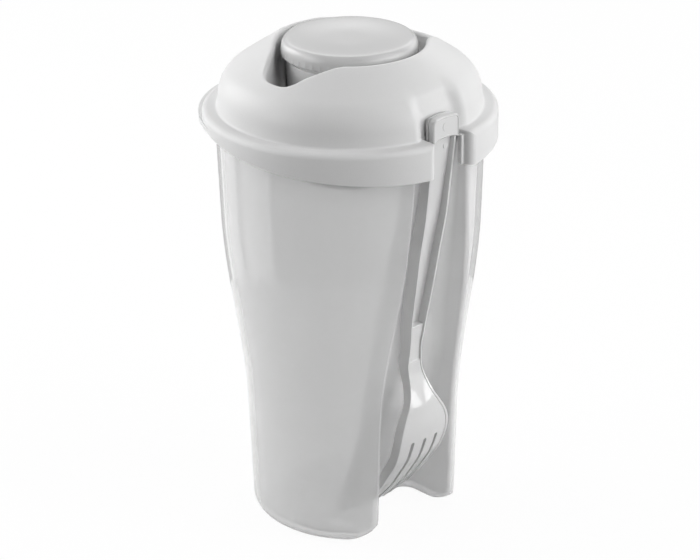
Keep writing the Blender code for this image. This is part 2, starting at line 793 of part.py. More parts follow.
def slot_centre():
    """Centre of the round corner between the skirt and the slot."""
    across = SLOT_HALF_WIDTH + SLOT_MOUTH_RADIUS
    return across, -sqrt((SKIRT_RADIUS - SLOT_MOUTH_RADIUS) ** 2 - across ** 2)


def mirrored(outline):
    """The outline on the other side of the YZ plane."""
    return [(-x, y) for x, y in reversed(outline)]


def lip_tool():
    """Blanks for the walls that turn in from the skirt's ends beside the slot."""
    bm = bmesh.new()
    centre = slot_centre()
    inner_radius = SLOT_MOUTH_RADIUS - LID_WALL
    turn = atan2(centre[1], centre[0])
    middle_radius = SKIRT_RADIUS - LID_WALL / 2.0
    back = -SKIRT_RADIUS + SLOT_LIP_DEPTH
    inside = SLOT_HALF_WIDTH - OVERLAP
    outline = [(inside, back), (SLOT_HALF_WIDTH + LID_WALL, back)]
    outline += arc(centre, inner_radius, pi, 2.0 * pi + turn, FILLET_STEPS)
    outline.append((middle_radius * cos(turn), middle_radius * sin(turn)))
    outline.append((inside, -sqrt(middle_radius ** 2 - inside ** 2)))
    bottom = LEDGE_TOP - SKIRT_FRONT_DROP + FIT
    top = LEDGE_TOP - LID_WALL + OVERLAP
    prism(bm, outline, bottom, top)
    prism(bm, mirrored(outline), bottom, top)
    return tool("lip_tool", bm)


def slot_tool():
    """The fork's slot through the skirt and ledge, with round corners at its mouth."""
    bm = bmesh.new()
    centre = slot_centre()
    turn = atan2(centre[1], centre[0])
    back = -DOME_FOOT_RADIUS + dent_depth(0.0, LEDGE_TOP) - SLOT_BACK_GAP
    outside = SKIRT_RADIUS + SLOT_MOUTH_RADIUS
    right = [(SLOT_HALF_WIDTH, back)]
    right += arc(centre, SLOT_MOUTH_RADIUS, -pi, turn, 2 * FILLET_STEPS)
    right.append((outside * cos(turn), outside * sin(turn)))
    right.append((SLOT_HALF_WIDTH, -outside))
    outline = right + mirrored(right)
    prism(bm, outline, LEDGE_TOP - 2.0 * SKIRT_FRONT_DROP, LEDGE_TOP + DOME_WALL_HEIGHT)
    return tool("slot_tool", bm)


def rib_tool():
    """Two upright ribs on the slot's walls that the fork's tab passes between."""
    bm = bmesh.new()
    front = -SKIRT_RADIUS + RIB_FRONT_DEPTH
    back = -SKIRT_RADIUS + SLOT_LIP_DEPTH
    inner = TAB_HALF_WIDTH + FIT
    outer = SLOT_HALF_WIDTH + OVERLAP
    outline = [(inner, front), (outer, front), (outer, back - FIT), (inner, back - FIT)]
    bottom = LEDGE_TOP - SKIRT_FRONT_DROP + 2.0 * FIT
    top = LEDGE_TOP - LID_WALL + FIT
    prism(bm, outline, bottom, top)
    prism(bm, mirrored(outline), bottom, top)
    return tool("rib_tool", bm)


def lift_tab_tool():
    """A thumb lip on the skirt's lower edge, opposite the fork."""
    bm = bmesh.new()
    inner_radius = SKIRT_RADIUS - LID_WALL / 2.0
    steps = 4 * FILLET_STEPS
    outer = []
    inner = []
    for index in range(steps + 1):
        place = 2.0 * index / steps - 1.0
        angle = pi + radians(LIFT_TAB_ANGLE) * place
        reach = SKIRT_RADIUS + LIFT_TAB_REACH * smooth(1.0 - abs(place))
        outer.append((reach * sin(angle), -reach * cos(angle)))
        inner.append((inner_radius * sin(angle), -inner_radius * cos(angle)))
    top = LEDGE_TOP - SKIRT_BACK_DROP + OVERLAP
    prism(bm, outer + inner[::-1], top - LIFT_TAB_THICKNESS, top)
    return tool("lift_tab_tool", bm)


def make_lid():
    """The lid: walled sheet, seal and lips joined on, slot cut, ribs and lift tab joined on."""
    lid = make_lid_sheet()
    for item in seal_tool():
        shape(lid, item, "UNION")
    shape(lid, lip_tool(), "UNION")
    shape(lid, slot_tool(), "DIFFERENCE")
    shape(lid, rib_tool(), "UNION")
    shape(lid, lift_tab_tool(), "UNION")
    return lid


# Dressing pot and cap

def make_pot():
    """A straight pot with a round foot and a narrower neck for the cap's thread."""
    foot = POT_FOOT_RADIUS
    bottom_radius = POT_RADIUS - POT_DRAFT
    neck_radius = CAP_RADIUS - CAP_SIDE_WALL - THREAD_SPACE
    shoulder = POT_RIM - NECK_HEIGHT
    inner_foot = foot - POT_WALL
    profile = [(0.0, POT_FOOT)]
    profile += arc((bottom_radius - foot, POT_FOOT + foot), foot, -pi / 2.0, 0.0, FILLET_STEPS)
    profile += [(POT_RADIUS, shoulder - POT_WALL / 2.0), (neck_radius, shoulder)]
    profile += [(neck_radius, POT_RIM), (neck_radius - POT_WALL, POT_RIM)]
    profile += [(neck_radius - POT_WALL, shoulder - POT_WALL), (POT_RADIUS - POT_WALL, shoulder - 2.0 * POT_WALL)]
    inner_centre = (bottom_radius - foot, POT_FOOT + foot)
    profile += arc(inner_centre, inner_foot, 0.0, -pi / 2.0, FILLET_STEPS)
    profile.append((0.0, POT_FOOT + POT_WALL))
    bm = bmesh.new()
    turned(bm, profile, TURN_STEPS)
    return add_object("dressing_pot", bm, plastic("dressing_pot", (0.74, 0.74, 0.74), 0.35, 1.0))


def make_cap():
    """The screw cap: ribbed lower band, round upper edge and a slightly dished top."""
    steps = 2 * CAP_RIB_COUNT
    edge = CAP_EDGE_RADIUS
    inner = CAP_RADIUS - CAP_SIDE_WALL
    ceiling = CAP_TOP - CAP_TOP_WALL
    rings = []

    def add_ring(radius, height, rib):
        ring = []
        for index in range(steps):
            angle = 2.0 * pi * index / steps
            reach = radius + (rib if index % 2 else 0.0)
            ring.append((reach * cos(angle), reach * sin(angle), height))
        rings.append(ring)

    add_ring(inner / 2.0, ceiling, 0.0)
    add_ring(inner, ceiling, 0.0)
    add_ring(inner, CAP_FOOT, 0.0)
    add_ring(CAP_RADIUS, CAP_FOOT, CAP_RIB_DEPTH)
    add_ring(CAP_RADIUS, CAP_FOOT + CAP_RIB_HEIGHT, CAP_RIB_DEPTH)
    add_ring(CAP_RADIUS, CAP_FOOT + CAP_RIB_HEIGHT + CAP_RIB_DEPTH, 0.0)
    for radius, height in arc((CAP_RADIUS - edge, CAP_TOP - edge), edge, 0.0, pi / 2.0, FILLET_STEPS):
        add_ring(radius, height, 0.0)
    add_ring((CAP_RADIUS - edge) / 2.0, CAP_TOP - CAP_DISH, 0.0)
    bm = bmesh.new()
    loft(bm, rings)
    return add_object("dressing_cap", bm, plastic("dressing_cap", (0.80, 0.80, 0.80), 0.40, 1.0))


def clear_scene():
    """Remove what the scene starts with."""
    for item in list(bpy.data.objects):
        bpy.data.objects.remove(item, do_unlink=True)


def place_on_joint(item, place):
    """Put an object's origin on its joint's axis."""
    item.data.transform(Matrix.Translation(place).inverted())
    item.location = place


def build():
    """Model every piece."""
    clear_scene()
    make_cup()
    make_lid()
    make_fork()
    place_on_joint(make_pot(), (0.0, 0.0, POT_FOOT))
    place_on_joint(make_cap(), (0.0, 0.0, CAP_FOOT))


build()
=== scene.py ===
from math import atan2, cos, degrees, hypot, pi, radians, sin, sqrt

import bmesh
import bpy
from mathutils import Matrix, Vector


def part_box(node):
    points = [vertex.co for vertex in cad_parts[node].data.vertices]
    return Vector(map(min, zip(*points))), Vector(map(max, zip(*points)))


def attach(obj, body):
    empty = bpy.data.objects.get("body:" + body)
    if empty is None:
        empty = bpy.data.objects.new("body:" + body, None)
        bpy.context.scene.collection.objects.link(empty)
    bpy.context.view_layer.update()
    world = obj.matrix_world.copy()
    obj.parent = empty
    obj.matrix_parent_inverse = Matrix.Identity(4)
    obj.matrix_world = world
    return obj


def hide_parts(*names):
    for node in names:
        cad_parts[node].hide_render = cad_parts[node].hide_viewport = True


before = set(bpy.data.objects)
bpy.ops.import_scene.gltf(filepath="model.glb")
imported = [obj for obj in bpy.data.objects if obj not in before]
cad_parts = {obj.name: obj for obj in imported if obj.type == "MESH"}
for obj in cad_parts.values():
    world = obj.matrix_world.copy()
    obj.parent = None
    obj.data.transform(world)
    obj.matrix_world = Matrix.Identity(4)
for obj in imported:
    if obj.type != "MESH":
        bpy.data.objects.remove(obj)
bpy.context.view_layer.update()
scene = bpy.context.scene


# Camera: it stands a metre away, to the left of the fork, and looks down on the lid.
# It is levelled by eye, so it leans half a degree.
CAMERA_TURN = radians(-43.4)
CAMERA_PITCH = radians(23.80)
CAMERA_ROLL = radians(-0.584)
CAMERA_DISTANCE = 1.0755
CAMERA_AIM = Vector((0.0, 0.0, 0.09658))
IMAGE_WIDTH = 700.0
FOCAL_PIXELS = 2714.6
AXIS_PIXEL = 351.86
SENSOR_WIDTH = 36.0

camera = bpy.data.cameras.new("camera")
camera.sensor_width = SENSOR_WIDTH
camera.lens = FOCAL_PIXELS * SENSOR_WIDTH / IMAGE_WIDTH
camera.shift_x = -(AXIS_PIXEL - IMAGE_WIDTH / 2.0) / IMAGE_WIDTH
towards_camera = Vector((
    sin(CAMERA_TURN) * cos(CAMERA_PITCH),
    -cos(CAMERA_TURN) * cos(CAMERA_PITCH),
    sin(CAMERA_PITCH),
))
camera_object = bpy.data.objects.new("camera", camera)
camera_object.matrix_world = (
    Matrix.Translation(CAMERA_AIM + CAMERA_DISTANCE * towards_camera)
    @ (-towards_camera).to_track_quat("-Z", "Y").to_matrix().to_4x4()
    @ Matrix.Rotation(CAMERA_ROLL, 4, "Z")
)
scene.collection.objects.link(camera_object)
scene.camera = camera_object


# Cup: one moulding in frosted clear plastic, milky in its thickness and glossy on the outside.
# A deep groove down its front holds the fork, and a bead round its rim holds the lid.
CUP_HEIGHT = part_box("cup")[1].z
BASE_RADIUS = 0.0407
CUP_DRAFT = 0.033
SHOULDER_START = 0.047
SHOULDER_END = 0.127
SHOULDER_STEP = 0.0060
CUP_WALL = 0.0018
CUP_FLOOR = 0.0022
BASE_EDGE_RADIUS = 0.005
BASE_EDGE_SHARE = 0.6
FOOT_RING_INSET = 0.0072
FOOT_RING_SLOPE = 0.0014
FOOT_RING_HEIGHT = 0.0007
FLOOR_EDGE_RADIUS = 0.0042
RIM_BEAD_HEIGHT = 0.0032
RIM_BEAD_DEPTH = 0.0011
RIM_EDGE_RADIUS = 0.0005
GROOVE_FOOT_HALF_WIDTH = 0.0193
GROOVE_TOP_HALF_WIDTH = 0.0128
GROOVE_NARROWS_FROM = 0.35
GROOVE_NARROWS_TO = 1.015
GROOVE_CORNER_RADIUS = 0.0046
GROOVE_MOUTH_RADIUS = 0.0014
GROOVE_FOOT_MOUTH_RADIUS = 0.0058
GROOVE_MOUTH_SETTLED = 0.009
SMALLEST_MOUTH_RADIUS = 0.0003
GROOVE_DEPTH = 0.0313
GROOVE_DEPTHS = (
    (0.00, 1.000),
    (0.03, 1.000),
    (0.07, 0.960),
    (0.12, 0.843),
    (0.21, 0.687),
    (0.28, 0.585),
    (0.35, 0.546),
    (0.44, 0.484),
    (0.52, 0.508),
    (0.62, 0.479),
    (0.72, 0.424),
    (0.81, 0.318),
    (0.91, 0.233),
    (1.00, 0.160),
)
ROUND_STEPS = 72
GROOVE_WALL_STEPS = 6
EDGE_STEPS = 8
OUTSIDE_ROWS = 64
INSIDE_ROWS = 48
MERGE_DISTANCE = 0.000002
SHARP_ANGLE = 32.0
GRAIN_SCALE = 2600.0
GRAIN_DETAIL = 2.0
GRAIN_STRENGTH = 0.6
DRIFT_SCALE = 28.0
DRIFT_DETAIL = 3.0
NOISE_ROUGHNESS = 0.55
SPECKLE_START = 0.3
SPECKLE_END = 0.7
SPECKLE_SHARE = 0.35
MILK_SQUARE_ON = 0.40
MILK_AT_EDGES = 0.70


def smooth(share):
    """Ease from 0 to 1 as share goes from 0 to 1."""
    share = min(max(share, 0.0), 1.0)
    return share * share * (3.0 - 2.0 * share)


def read(stations, place):
    """Read (place, value) stations as one smooth curve."""
    place = min(max(place, stations[0][0]), stations[-1][0])
    index = 0
    while index < len(stations) - 2 and place > stations[index + 1][0]:
        index += 1
    start, start_value = stations[index]
    end, end_value = stations[index + 1]
    before = stations[max(index - 1, 0)]
    after = stations[min(index + 2, len(stations) - 1)]
    span = end - start
    start_slope = (end_value - before[1]) / (end - before[0]) * span
    end_slope = (after[1] - start_value) / (after[0] - start) * span
    step = (place - start) / span
    value = start_value + (end_value - start_value) * smooth(step)
    value += step * (1.0 - step) * ((1.0 - step) * start_slope - step * end_slope)
    return value


def arc(centre, radius, start, end, steps):
    """Points on an arc in a plane, with angles in radians from the first axis."""
    points = []
    for index in range(steps + 1):
        angle = start + (end - start) * index / steps
        points.append((centre[0] + radius * cos(angle), centre[1] + radius * sin(angle)))
    return points


def cup_radius(height):
    """Radius of the cup's round outside, which has a soft shoulder below its middle."""
    shoulder = smooth((height - SHOULDER_START) / (SHOULDER_END - SHOULDER_START))
    return BASE_RADIUS + CUP_DRAFT * height + SHOULDER_STEP * shoulder


def groove_sizes(height):
    """The groove's half width, and how far its back wall stands from the axis."""
    share = height / CUP_HEIGHT
    narrow = smooth((share - GROOVE_NARROWS_FROM) / (GROOVE_NARROWS_TO - GROOVE_NARROWS_FROM))
    half_width = GROOVE_FOOT_HALF_WIDTH + (GROOVE_TOP_HALF_WIDTH - GROOVE_FOOT_HALF_WIDTH) * narrow
    return half_width, cup_radius(height) - GROOVE_DEPTH * read(GROOVE_DEPTHS, share)


def cup_outline(height, inset, groove_inset):
    """The cup's plan outline, set into the material: round, in at the lips and across the groove."""
    half_width, back = groove_sizes(height)
    half_width += groove_inset
    back -= groove_inset
    radius = cup_radius(height) - inset
    softness = 1.0 - smooth(height / GROOVE_MOUTH_SETTLED)
    mouth = GROOVE_MOUTH_RADIUS + (GROOVE_FOOT_MOUTH_RADIUS - GROOVE_MOUTH_RADIUS) * softness
    lip = max(mouth - groove_inset, SMALLEST_MOUTH_RADIUS)
    lip_x = half_width + lip
    lip_y = sqrt((radius - lip) ** 2 - lip_x ** 2)
    corner = min(GROOVE_CORNER_RADIUS + groove_inset, (lip_y - back) / 2.0, half_width / 2.0)
    turn = atan2(lip_x, lip_y)
    right = []
    for index in range(ROUND_STEPS + 1):
        angle = pi + (turn - pi) * index / ROUND_STEPS
        right.append((radius * sin(angle), -radius * cos(angle)))
    for index in range(1, EDGE_STEPS + 1):
        angle = turn - (turn + pi / 2.0) * index / EDGE_STEPS
        right.append((lip_x + lip * sin(angle), -lip_y - lip * cos(angle)))
    for index in range(1, GROOVE_WALL_STEPS):
        right.append((half_width, -lip_y + (lip_y - back - corner) * index / GROOVE_WALL_STEPS))
    right += arc((half_width - corner, -back - corner), corner, 0.0, pi / 2.0, EDGE_STEPS)
    right.append(((half_width - corner) / 2.0, -back))
    return right + [(0.0, -back)] + [(-x, y) for x, y in reversed(right[1:])]


def skin(across, up, place):
    """A grid wrapped into a skin: place turns its shares across and up into a point."""
    bm = bmesh.new()
    bmesh.ops.create_grid(bm, x_segments=across, y_segments=up, size=1.0)
    for vert in bm.verts:
        vert.co = place(0.5 + vert.co.x / 2.0, 0.5 + vert.co.y / 2.0)
    bmesh.ops.remove_doubles(bm, verts=bm.verts, dist=MERGE_DISTANCE)
    return bm


def upright(x, y, height):
    """Lay a level's point flat at its height."""
    return Vector((x, y, height))


def lofted(levels, lay=upright):
    """Close a body over (outline, height) levels whose outlines have equally many points."""
    def place(across, up):
        outline, height = levels[round(up * (len(levels) - 1))]
        x, y = outline[round(across * len(outline)) % len(outline)]
        return lay(x, y, height)

    bm = skin(len(levels[0][0]), len(levels) - 1, place)
    bmesh.ops.holes_fill(bm, edges=bm.edges, sides=0)
    bmesh.ops.recalc_face_normals(bm, faces=bm.faces)
    return bm


def make_object(name, bm):
    """Make an object of a finished bmesh and put it in the scene."""
    mesh = bpy.data.meshes.new(name)
    bm.to_mesh(mesh)
    bm.free()
    item = bpy.data.objects.new(name, mesh)
    scene.collection.objects.link(item)
    return item


def shade(mesh, finish, sharp):
    """Give a mesh its material, and shade it smooth except where it turns by the sharp angle."""
    mesh.materials.clear()
    mesh.materials.append(finish)
    mesh.shade_smooth()
    mesh.set_sharp_from_angle(angle=radians(sharp))


def piece(name, bm, finish, sharp=SHARP_ANGLE):
    """Make a shaded object of a finished bmesh, with its faces pointing outwards."""
    bmesh.ops.recalc_face_normals(bm, faces=bm.faces)
    item = make_object(name, bm)
    shade(item.data, finish, sharp)
    return item


def ranged(tree, source, low, high, start=0.0, end=1.0):
    """A source's values from start to end, turned into low to high."""
    node = tree.nodes.new("ShaderNodeMapRange")
    node.inputs["From Min"].default_value = start
    node.inputs["From Max"].default_value = end
    node.inputs["To Min"].default_value = low
    node.inputs["To Max"].default_value = high
    tree.links.new(source, node.inputs["Value"])
    return node.outputs["Result"]


def reckoned(tree, operation, *terms):
    """What a maths node makes of its terms, which are numbers or other nodes' outputs."""
    node = tree.nodes.new("ShaderNodeMath")
    node.operation = operation
    for socket, term in zip(node.inputs, terms):
        if isinstance(term, float):
            socket.default_value = term
        else:
            tree.links.new(term, socket)
    return node.outputs["Value"]


def moulding_group():
    """What every moulded plastic shows: a fine spark-eroded grain and a slow drift in tone."""
    group = bpy.data.node_groups.new("moulded surface", "ShaderNodeTree")
    for name in ("Grain Scale", "Drift Scale"):
        group.interface.new_socket(name, in_out="INPUT", socket_type="NodeSocketFloat")
    for name in ("Grain", "Drift", "Speckle"):
        group.interface.new_socket(name, in_out="OUTPUT", socket_type="NodeSocketFloat")
    entry = group.nodes.new("NodeGroupInput")
    leave = group.nodes.new("NodeGroupOutput")
    place = group.nodes.new("ShaderNodeTexCoord")
    for name, detail in (("Grain", GRAIN_DETAIL), ("Drift", DRIFT_DETAIL)):
        noise = group.nodes.new("ShaderNodeTexNoise")
        noise.inputs["Detail"].default_value = detail
        noise.inputs["Roughness"].default_value = NOISE_ROUGHNESS
        group.links.new(place.outputs["Object"], noise.inputs["Vector"])
        group.links.new(entry.outputs[name + " Scale"], noise.inputs["Scale"])
        group.links.new(noise.outputs["Fac"], leave.inputs[name])
        if name == "Grain":
            speckle = ranged(group, noise.outputs["Fac"], 0.0, 1.0, SPECKLE_START, SPECKLE_END)
            group.links.new(speckle, leave.inputs["Speckle"])
    return group


moulded_surface = moulding_group()


def plastic(name, pale, deep, roughness, grain_depth, settings=()):
    """A moulded plastic between two greys, with its roughness drifting between two values."""
    finish = bpy.data.materials.new(name)
    finish.use_nodes = True
    tree = finish.node_tree
    shader = tree.nodes["Principled BSDF"]
    for socket, value in settings:
        shader.inputs[socket].default_value = value
    surface = tree.nodes.new("ShaderNodeGroup")
    surface.node_tree = moulded_surface
    surface.inputs["Grain Scale"].default_value = GRAIN_SCALE
    surface.inputs["Drift Scale"].default_value = DRIFT_SCALE
    slow = reckoned(tree, "MULTIPLY", surface.outputs["Drift"], 1.0 - SPECKLE_SHARE)
    mixed = reckoned(tree, "MULTIPLY_ADD", surface.outputs["Speckle"], SPECKLE_SHARE, slow)
    tone = tree.nodes.new("ShaderNodeMix")
    tone.data_type = "RGBA"
    tone.inputs["A"].default_value = (deep, deep, deep, 1.0)
    tone.inputs["B"].default_value = (pale, pale, pale, 1.0)
    gloss = ranged(tree, surface.outputs["Drift"], roughness[0], roughness[1])
    bump = tree.nodes.new("ShaderNodeBump")
    bump.inputs["Distance"].default_value = grain_depth
    bump.inputs["Strength"].default_value = GRAIN_STRENGTH
    tree.links.new(mixed, tone.inputs["Factor"])
    tree.links.new(tone.outputs["Result"], shader.inputs["Base Color"])
    tree.links.new(gloss, shader.inputs["Roughness"])
    tree.links.new(surface.outputs["Grain"], bump.inputs["Height"])
    tree.links.new(bump.outputs["Normal"], shader.inputs["Normal"])
    return finish


frosted = plastic(
    "frosted cup",
    pale=0.82,
    deep=0.78,
    roughness=(0.16, 0.24),
    grain_depth=0.00001,
    settings=(
        ("Transmission Weight", 0.20),
        ("IOR", 1.49),
        ("Coat Weight", 1.0),
        ("Coat Roughness", 0.03),
        ("Coat IOR", 1.7),
    ),
)
frosted_tree = frosted.node_tree
facing = frosted_tree.nodes.new("ShaderNodeLayerWeight")
facing.inputs["Blend"].default_value = 0.5
milk = ranged(frosted_tree, facing.outputs["Facing"], MILK_SQUARE_ON, MILK_AT_EDGES)
frosted_tree.links.new(milk, frosted_tree.nodes["Principled BSDF"].inputs["Alpha"])

cup_levels = []


def add_level(height, inset, groove_inset):
    """Add the cup's outline at a height to the skin, which goes up, over the rim and down inside."""
    cup_levels.append((cup_outline(height, inset, groove_inset), height))


add_level(FOOT_RING_HEIGHT, FOOT_RING_INSET + FOOT_RING_SLOPE, FOOT_RING_INSET * BASE_EDGE_SHARE)
add_level(0.0, FOOT_RING_INSET, FOOT_RING_INSET * BASE_EDGE_SHARE)
for index in range(EDGE_STEPS + 1):
    angle = pi / 2.0 * index / EDGE_STEPS
    inset = BASE_EDGE_RADIUS * (1.0 - sin(angle))
    add_level(BASE_EDGE_RADIUS * (1.0 - cos(angle)), inset, inset * BASE_EDGE_SHARE)
bead_foot = CUP_HEIGHT - RIM_BEAD_HEIGHT
for index in range(1, OUTSIDE_ROWS + 1):
    add_level(BASE_EDGE_RADIUS + (bead_foot - BASE_EDGE_RADIUS) * index / OUTSIDE_ROWS, 0.0, 0.0)
add_level(bead_foot + RIM_BEAD_DEPTH, -RIM_BEAD_DEPTH, 0.0)
add_level(CUP_HEIGHT - RIM_EDGE_RADIUS, -RIM_BEAD_DEPTH, 0.0)
add_level(CUP_HEIGHT, RIM_EDGE_RADIUS - RIM_BEAD_DEPTH, 0.0)
add_level(CUP_HEIGHT, CUP_WALL - RIM_EDGE_RADIUS, CUP_WALL - RIM_EDGE_RADIUS)
add_level(CUP_HEIGHT - RIM_EDGE_RADIUS, CUP_WALL, CUP_WALL)
floor_edge = CUP_FLOOR + FLOOR_EDGE_RADIUS
for index in range(INSIDE_ROWS):
    height = floor_edge + (bead_foot - floor_edge) * (INSIDE_ROWS - index) / INSIDE_ROWS
    add_level(height, CUP_WALL, CUP_WALL)
for index in range(EDGE_STEPS + 1):
    angle = pi / 2.0 * index / EDGE_STEPS
    inset = FLOOR_EDGE_RADIUS * (1.0 - cos(angle))
    height = floor_edge - FLOOR_EDGE_RADIUS * sin(angle)
    add_level(height, CUP_WALL + inset, CUP_WALL + inset * BASE_EDGE_SHARE)

cup = piece("frosted_cup", lofted(cup_levels), frosted)
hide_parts("cup")
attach(cup, "cup")


# Lid: one moulding in matt white plastic that snaps over the cup's rim. Its dome holds the dressing
# pot in a well between two finger scoops, and its skirt opens at the front to grip the fork.
# The opening's lip is set in degrees from the fork, and the scoops in degrees from their middle.
LEDGE_TOP = 0.1715
LID_WALL = 0.0016
SKIRT_RADIUS = 0.05716
SKIRT_FRONT_DROP = 0.0137
SKIRT_BACK_DROP = 0.0041
SKIRT_SLANT = 0.01155
SKIRT_EDGE_RADIUS = 0.0024
DOME_FOOT_RADIUS = 0.0513
DOME_FOOT_FILLET = 0.0009
DOME_WALL_HEIGHT = 0.0050
DOME_WALL_TILT = radians(4.5)
DOME_SHOULDER_RADIUS = 0.0141
DOME_SLOPE = radians(33.8)
DOME_SLOPE_STEPS = 6
OPENING_RADIUS = 0.0291
LIP_RADIUS = 0.0013
REAR_LIP_DROP = 0.0011
REAR_LIP_START = 92.0
REAR_LIP_RUN_IN = 20.0
REAR_LIP_END = 140.0
REAR_LIP_RUN_OUT = 25.0
SCOOP_MIDDLE = 90.0
SCOOP_MARGIN = 0.0036
SCOOP_REACHES = (
    (0.0, 1.00),
    (7.0, 1.00),
    (11.0, 0.94),
    (15.0, 0.78),
    (19.5, 0.54),
    (25.0, 0.35),
    (30.6, 0.19),
    (37.0, 0.06),
    (43.0, 0.00),
)
SCOOP_REAR_REACHES = (
    (0.0, 1.00),
    (5.0, 0.96),
    (10.0, 0.81),
    (14.0, 0.62),
    (20.0, 0.34),
    (27.0, 0.12),
    (37.0, -0.04),
    (45.0, -0.08),
    (65.0, -0.08),
    (80.0, 0.00),
)
SCOOP_WALL_STEPS = 12
SHELF_HEIGHT = 0.1894
SCOOP_FLOOR_DROPS = (
    (0.0, 0.0180),
    (12.0, 0.0172),
    (24.0, 0.0122),
    (36.0, 0.0078),
    (48.0, 0.0048),
    (60.0, 0.0015),
    (70.0, 0.0000),
)
WELL_FLOOR = 0.1450
WELL_EDGE_RADIUS = 0.0022
WELL_FLOOR_RADIUS = 0.0043
WELL_TOP_RADIUS = 0.0246
WELL_DRAFT = 0.0010
WELL_HEIGHT = 0.0511
LID_COLUMNS = 240
COLUMN_CROWDING = 0.45
DENT_ROWS = range(8, 36)
DENT_DEPTH = 0.0036
DENT_HALF_WIDTH = 0.0066
DENT_BLEND = 0.0070
DENT_FULL_HEIGHT = 0.0115
DENT_FADE_HEIGHT = 0.0075
RIM_FIT = 0.0003
PLUG_DEPTH = 0.0051
PLUG_WALL = 0.0014
PLATE_GAP = 0.0004
PLATE_COVER = 0.0001
PLATE_STEPS = 96
SLOT_HALF_WIDTH = 0.00865
SLOT_MOUTH_RADIUS = 0.0030
SLOT_TOP_EDGE = 0.0007
SLOT_TOP_EDGE_STEPS = 5
SLOT_BACK = 0.0476
SLOT_CUT_HEIGHT = 0.0030
SLOT_LIP_DEPTH = 0.0063
SLOT_LIP_RAISE = 0.0002
SLOT_LIP_SINK = 0.0008
RIB_FRONT_DEPTH = 0.0042
RIB_BACK_STEP = 0.0003
RIB_HALF_GAP = 0.0072
RIB_RAISE = 0.0006
RIB_SINK = 0.0013
LIFT_TAB_REACH = 0.0048
LIFT_TAB_THICKNESS = 0.0018
LIFT_TAB_ANGLE = radians(72.0)
LIFT_TAB_STEPS = 24
WELD_OVERLAP = 0.0005
CUT_MARGIN = 0.001

matt_white = plastic("lid plastic", pale=0.74, deep=0.69, roughness=(0.42, 0.52), grain_depth=0.00004)

shoulder_foot = DOME_FOOT_RADIUS - DOME_WALL_HEIGHT * sin(DOME_WALL_TILT) / cos(DOME_WALL_TILT)
shoulder_centre = (
    shoulder_foot - DOME_SHOULDER_RADIUS * cos(DOME_WALL_TILT),
    LEDGE_TOP + DOME_WALL_HEIGHT - DOME_SHOULDER_RADIUS * sin(DOME_WALL_TILT),
)
shoulder_top = (
    shoulder_centre[0] + DOME_SHOULDER_RADIUS * sin(DOME_SLOPE),
    shoulder_centre[1] + DOME_SHOULDER_RADIUS * cos(DOME_SLOPE),
)


def scoop_share(away):
    """How fully a finger scoop reaches out, at so many degrees from the fork."""
    if away < SCOOP_MIDDLE:
        return read(SCOOP_REACHES, SCOOP_MIDDLE - away)
    return read(SCOOP_REAR_REACHES, away - SCOOP_MIDDLE)


def rear_lip_drop(away):
    """How far the opening's lip is lowered behind a scoop, at so many degrees from the fork."""
    run_in = smooth((away - REAR_LIP_START) / REAR_LIP_RUN_IN)
    return REAR_LIP_DROP * run_in * (1.0 - smooth((away - REAR_LIP_END) / REAR_LIP_RUN_OUT))


def cone_height(radius):
    """Height of the dome's straight upper slope at a radius."""
    return shoulder_top[1] + (shoulder_top[0] - radius) * sin(DOME_SLOPE) / cos(DOME_SLOPE)


def well_radius(height):
    """Radius of the well, which follows the pot's draft."""
    return WELL_TOP_RADIUS - WELL_DRAFT * (1.0 - (height - WELL_FLOOR) / WELL_HEIGHT)


def lid_profile(angle):
    """(radius, height) points down the lid's upper face, from the skirt's foot to the well's floor."""
    edge = SKIRT_EDGE_RADIUS
    slant = SKIRT_SLANT * (1.0 - cos(angle)) / 2.0
    foot = min(LEDGE_TOP - SKIRT_FRONT_DROP + slant, LEDGE_TOP - SKIRT_BACK_DROP)
    points = [(SKIRT_RADIUS, foot)]
    points += arc((SKIRT_RADIUS - edge, LEDGE_TOP - edge), edge, 0.0, pi / 2.0, steps=6)
    fillet = DOME_FOOT_FILLET
    points += arc((DOME_FOOT_RADIUS + fillet, LEDGE_TOP + fillet), fillet, -pi / 2.0, -pi, steps=4)
    points += arc(shoulder_centre, DOME_SHOULDER_RADIUS, DOME_WALL_TILT, pi / 2.0 - DOME_SLOPE, steps=12)

    away = abs(degrees(angle))
    drop = rear_lip_drop(away)
    scoop_edge = shoulder_top[0] - SCOOP_MARGIN - LIP_RADIUS
    opening = OPENING_RADIUS + (scoop_edge - OPENING_RADIUS) * scoop_share(away)
    lip_start = opening + LIP_RADIUS * (1.0 + sin(DOME_SLOPE))
    for index in range(1, DOME_SLOPE_STEPS):
        share = index / DOME_SLOPE_STEPS
        radius = shoulder_top[0] + (lip_start - shoulder_top[0]) * share
        points.append((radius, cone_height(radius) - drop * smooth(share)))
    lip_top = cone_height(lip_start) - drop
    lip_centre = (opening + LIP_RADIUS, lip_top - LIP_RADIUS * cos(DOME_SLOPE))
    points += arc(lip_centre, LIP_RADIUS, pi / 2.0 - DOME_SLOPE, pi, steps=8)
    wall_radius, wall_top = points[-1]

    shelf = SHELF_HEIGHT - read(SCOOP_FLOOR_DROPS, abs(away - SCOOP_MIDDLE))
    shelf_radius = well_radius(shelf) + WELL_EDGE_RADIUS
    for index in range(1, SCOOP_WALL_STEPS + 1):
        turn = pi / 2.0 * index / SCOOP_WALL_STEPS
        radius = shelf_radius + (wall_radius - shelf_radius) * cos(turn)
        points.append((radius, wall_top - (wall_top - shelf) * sin(turn)))
    edge_centre = (shelf_radius, shelf - WELL_EDGE_RADIUS)
    points += arc(edge_centre, WELL_EDGE_RADIUS, pi / 2.0, pi, steps=6)[1:]
    low = WELL_FLOOR + WELL_FLOOR_RADIUS
    floor_centre = (well_radius(low) - WELL_FLOOR_RADIUS, low)
    points += arc(floor_centre, WELL_FLOOR_RADIUS, 0.0, -pi / 2.0, steps=6)
    return points


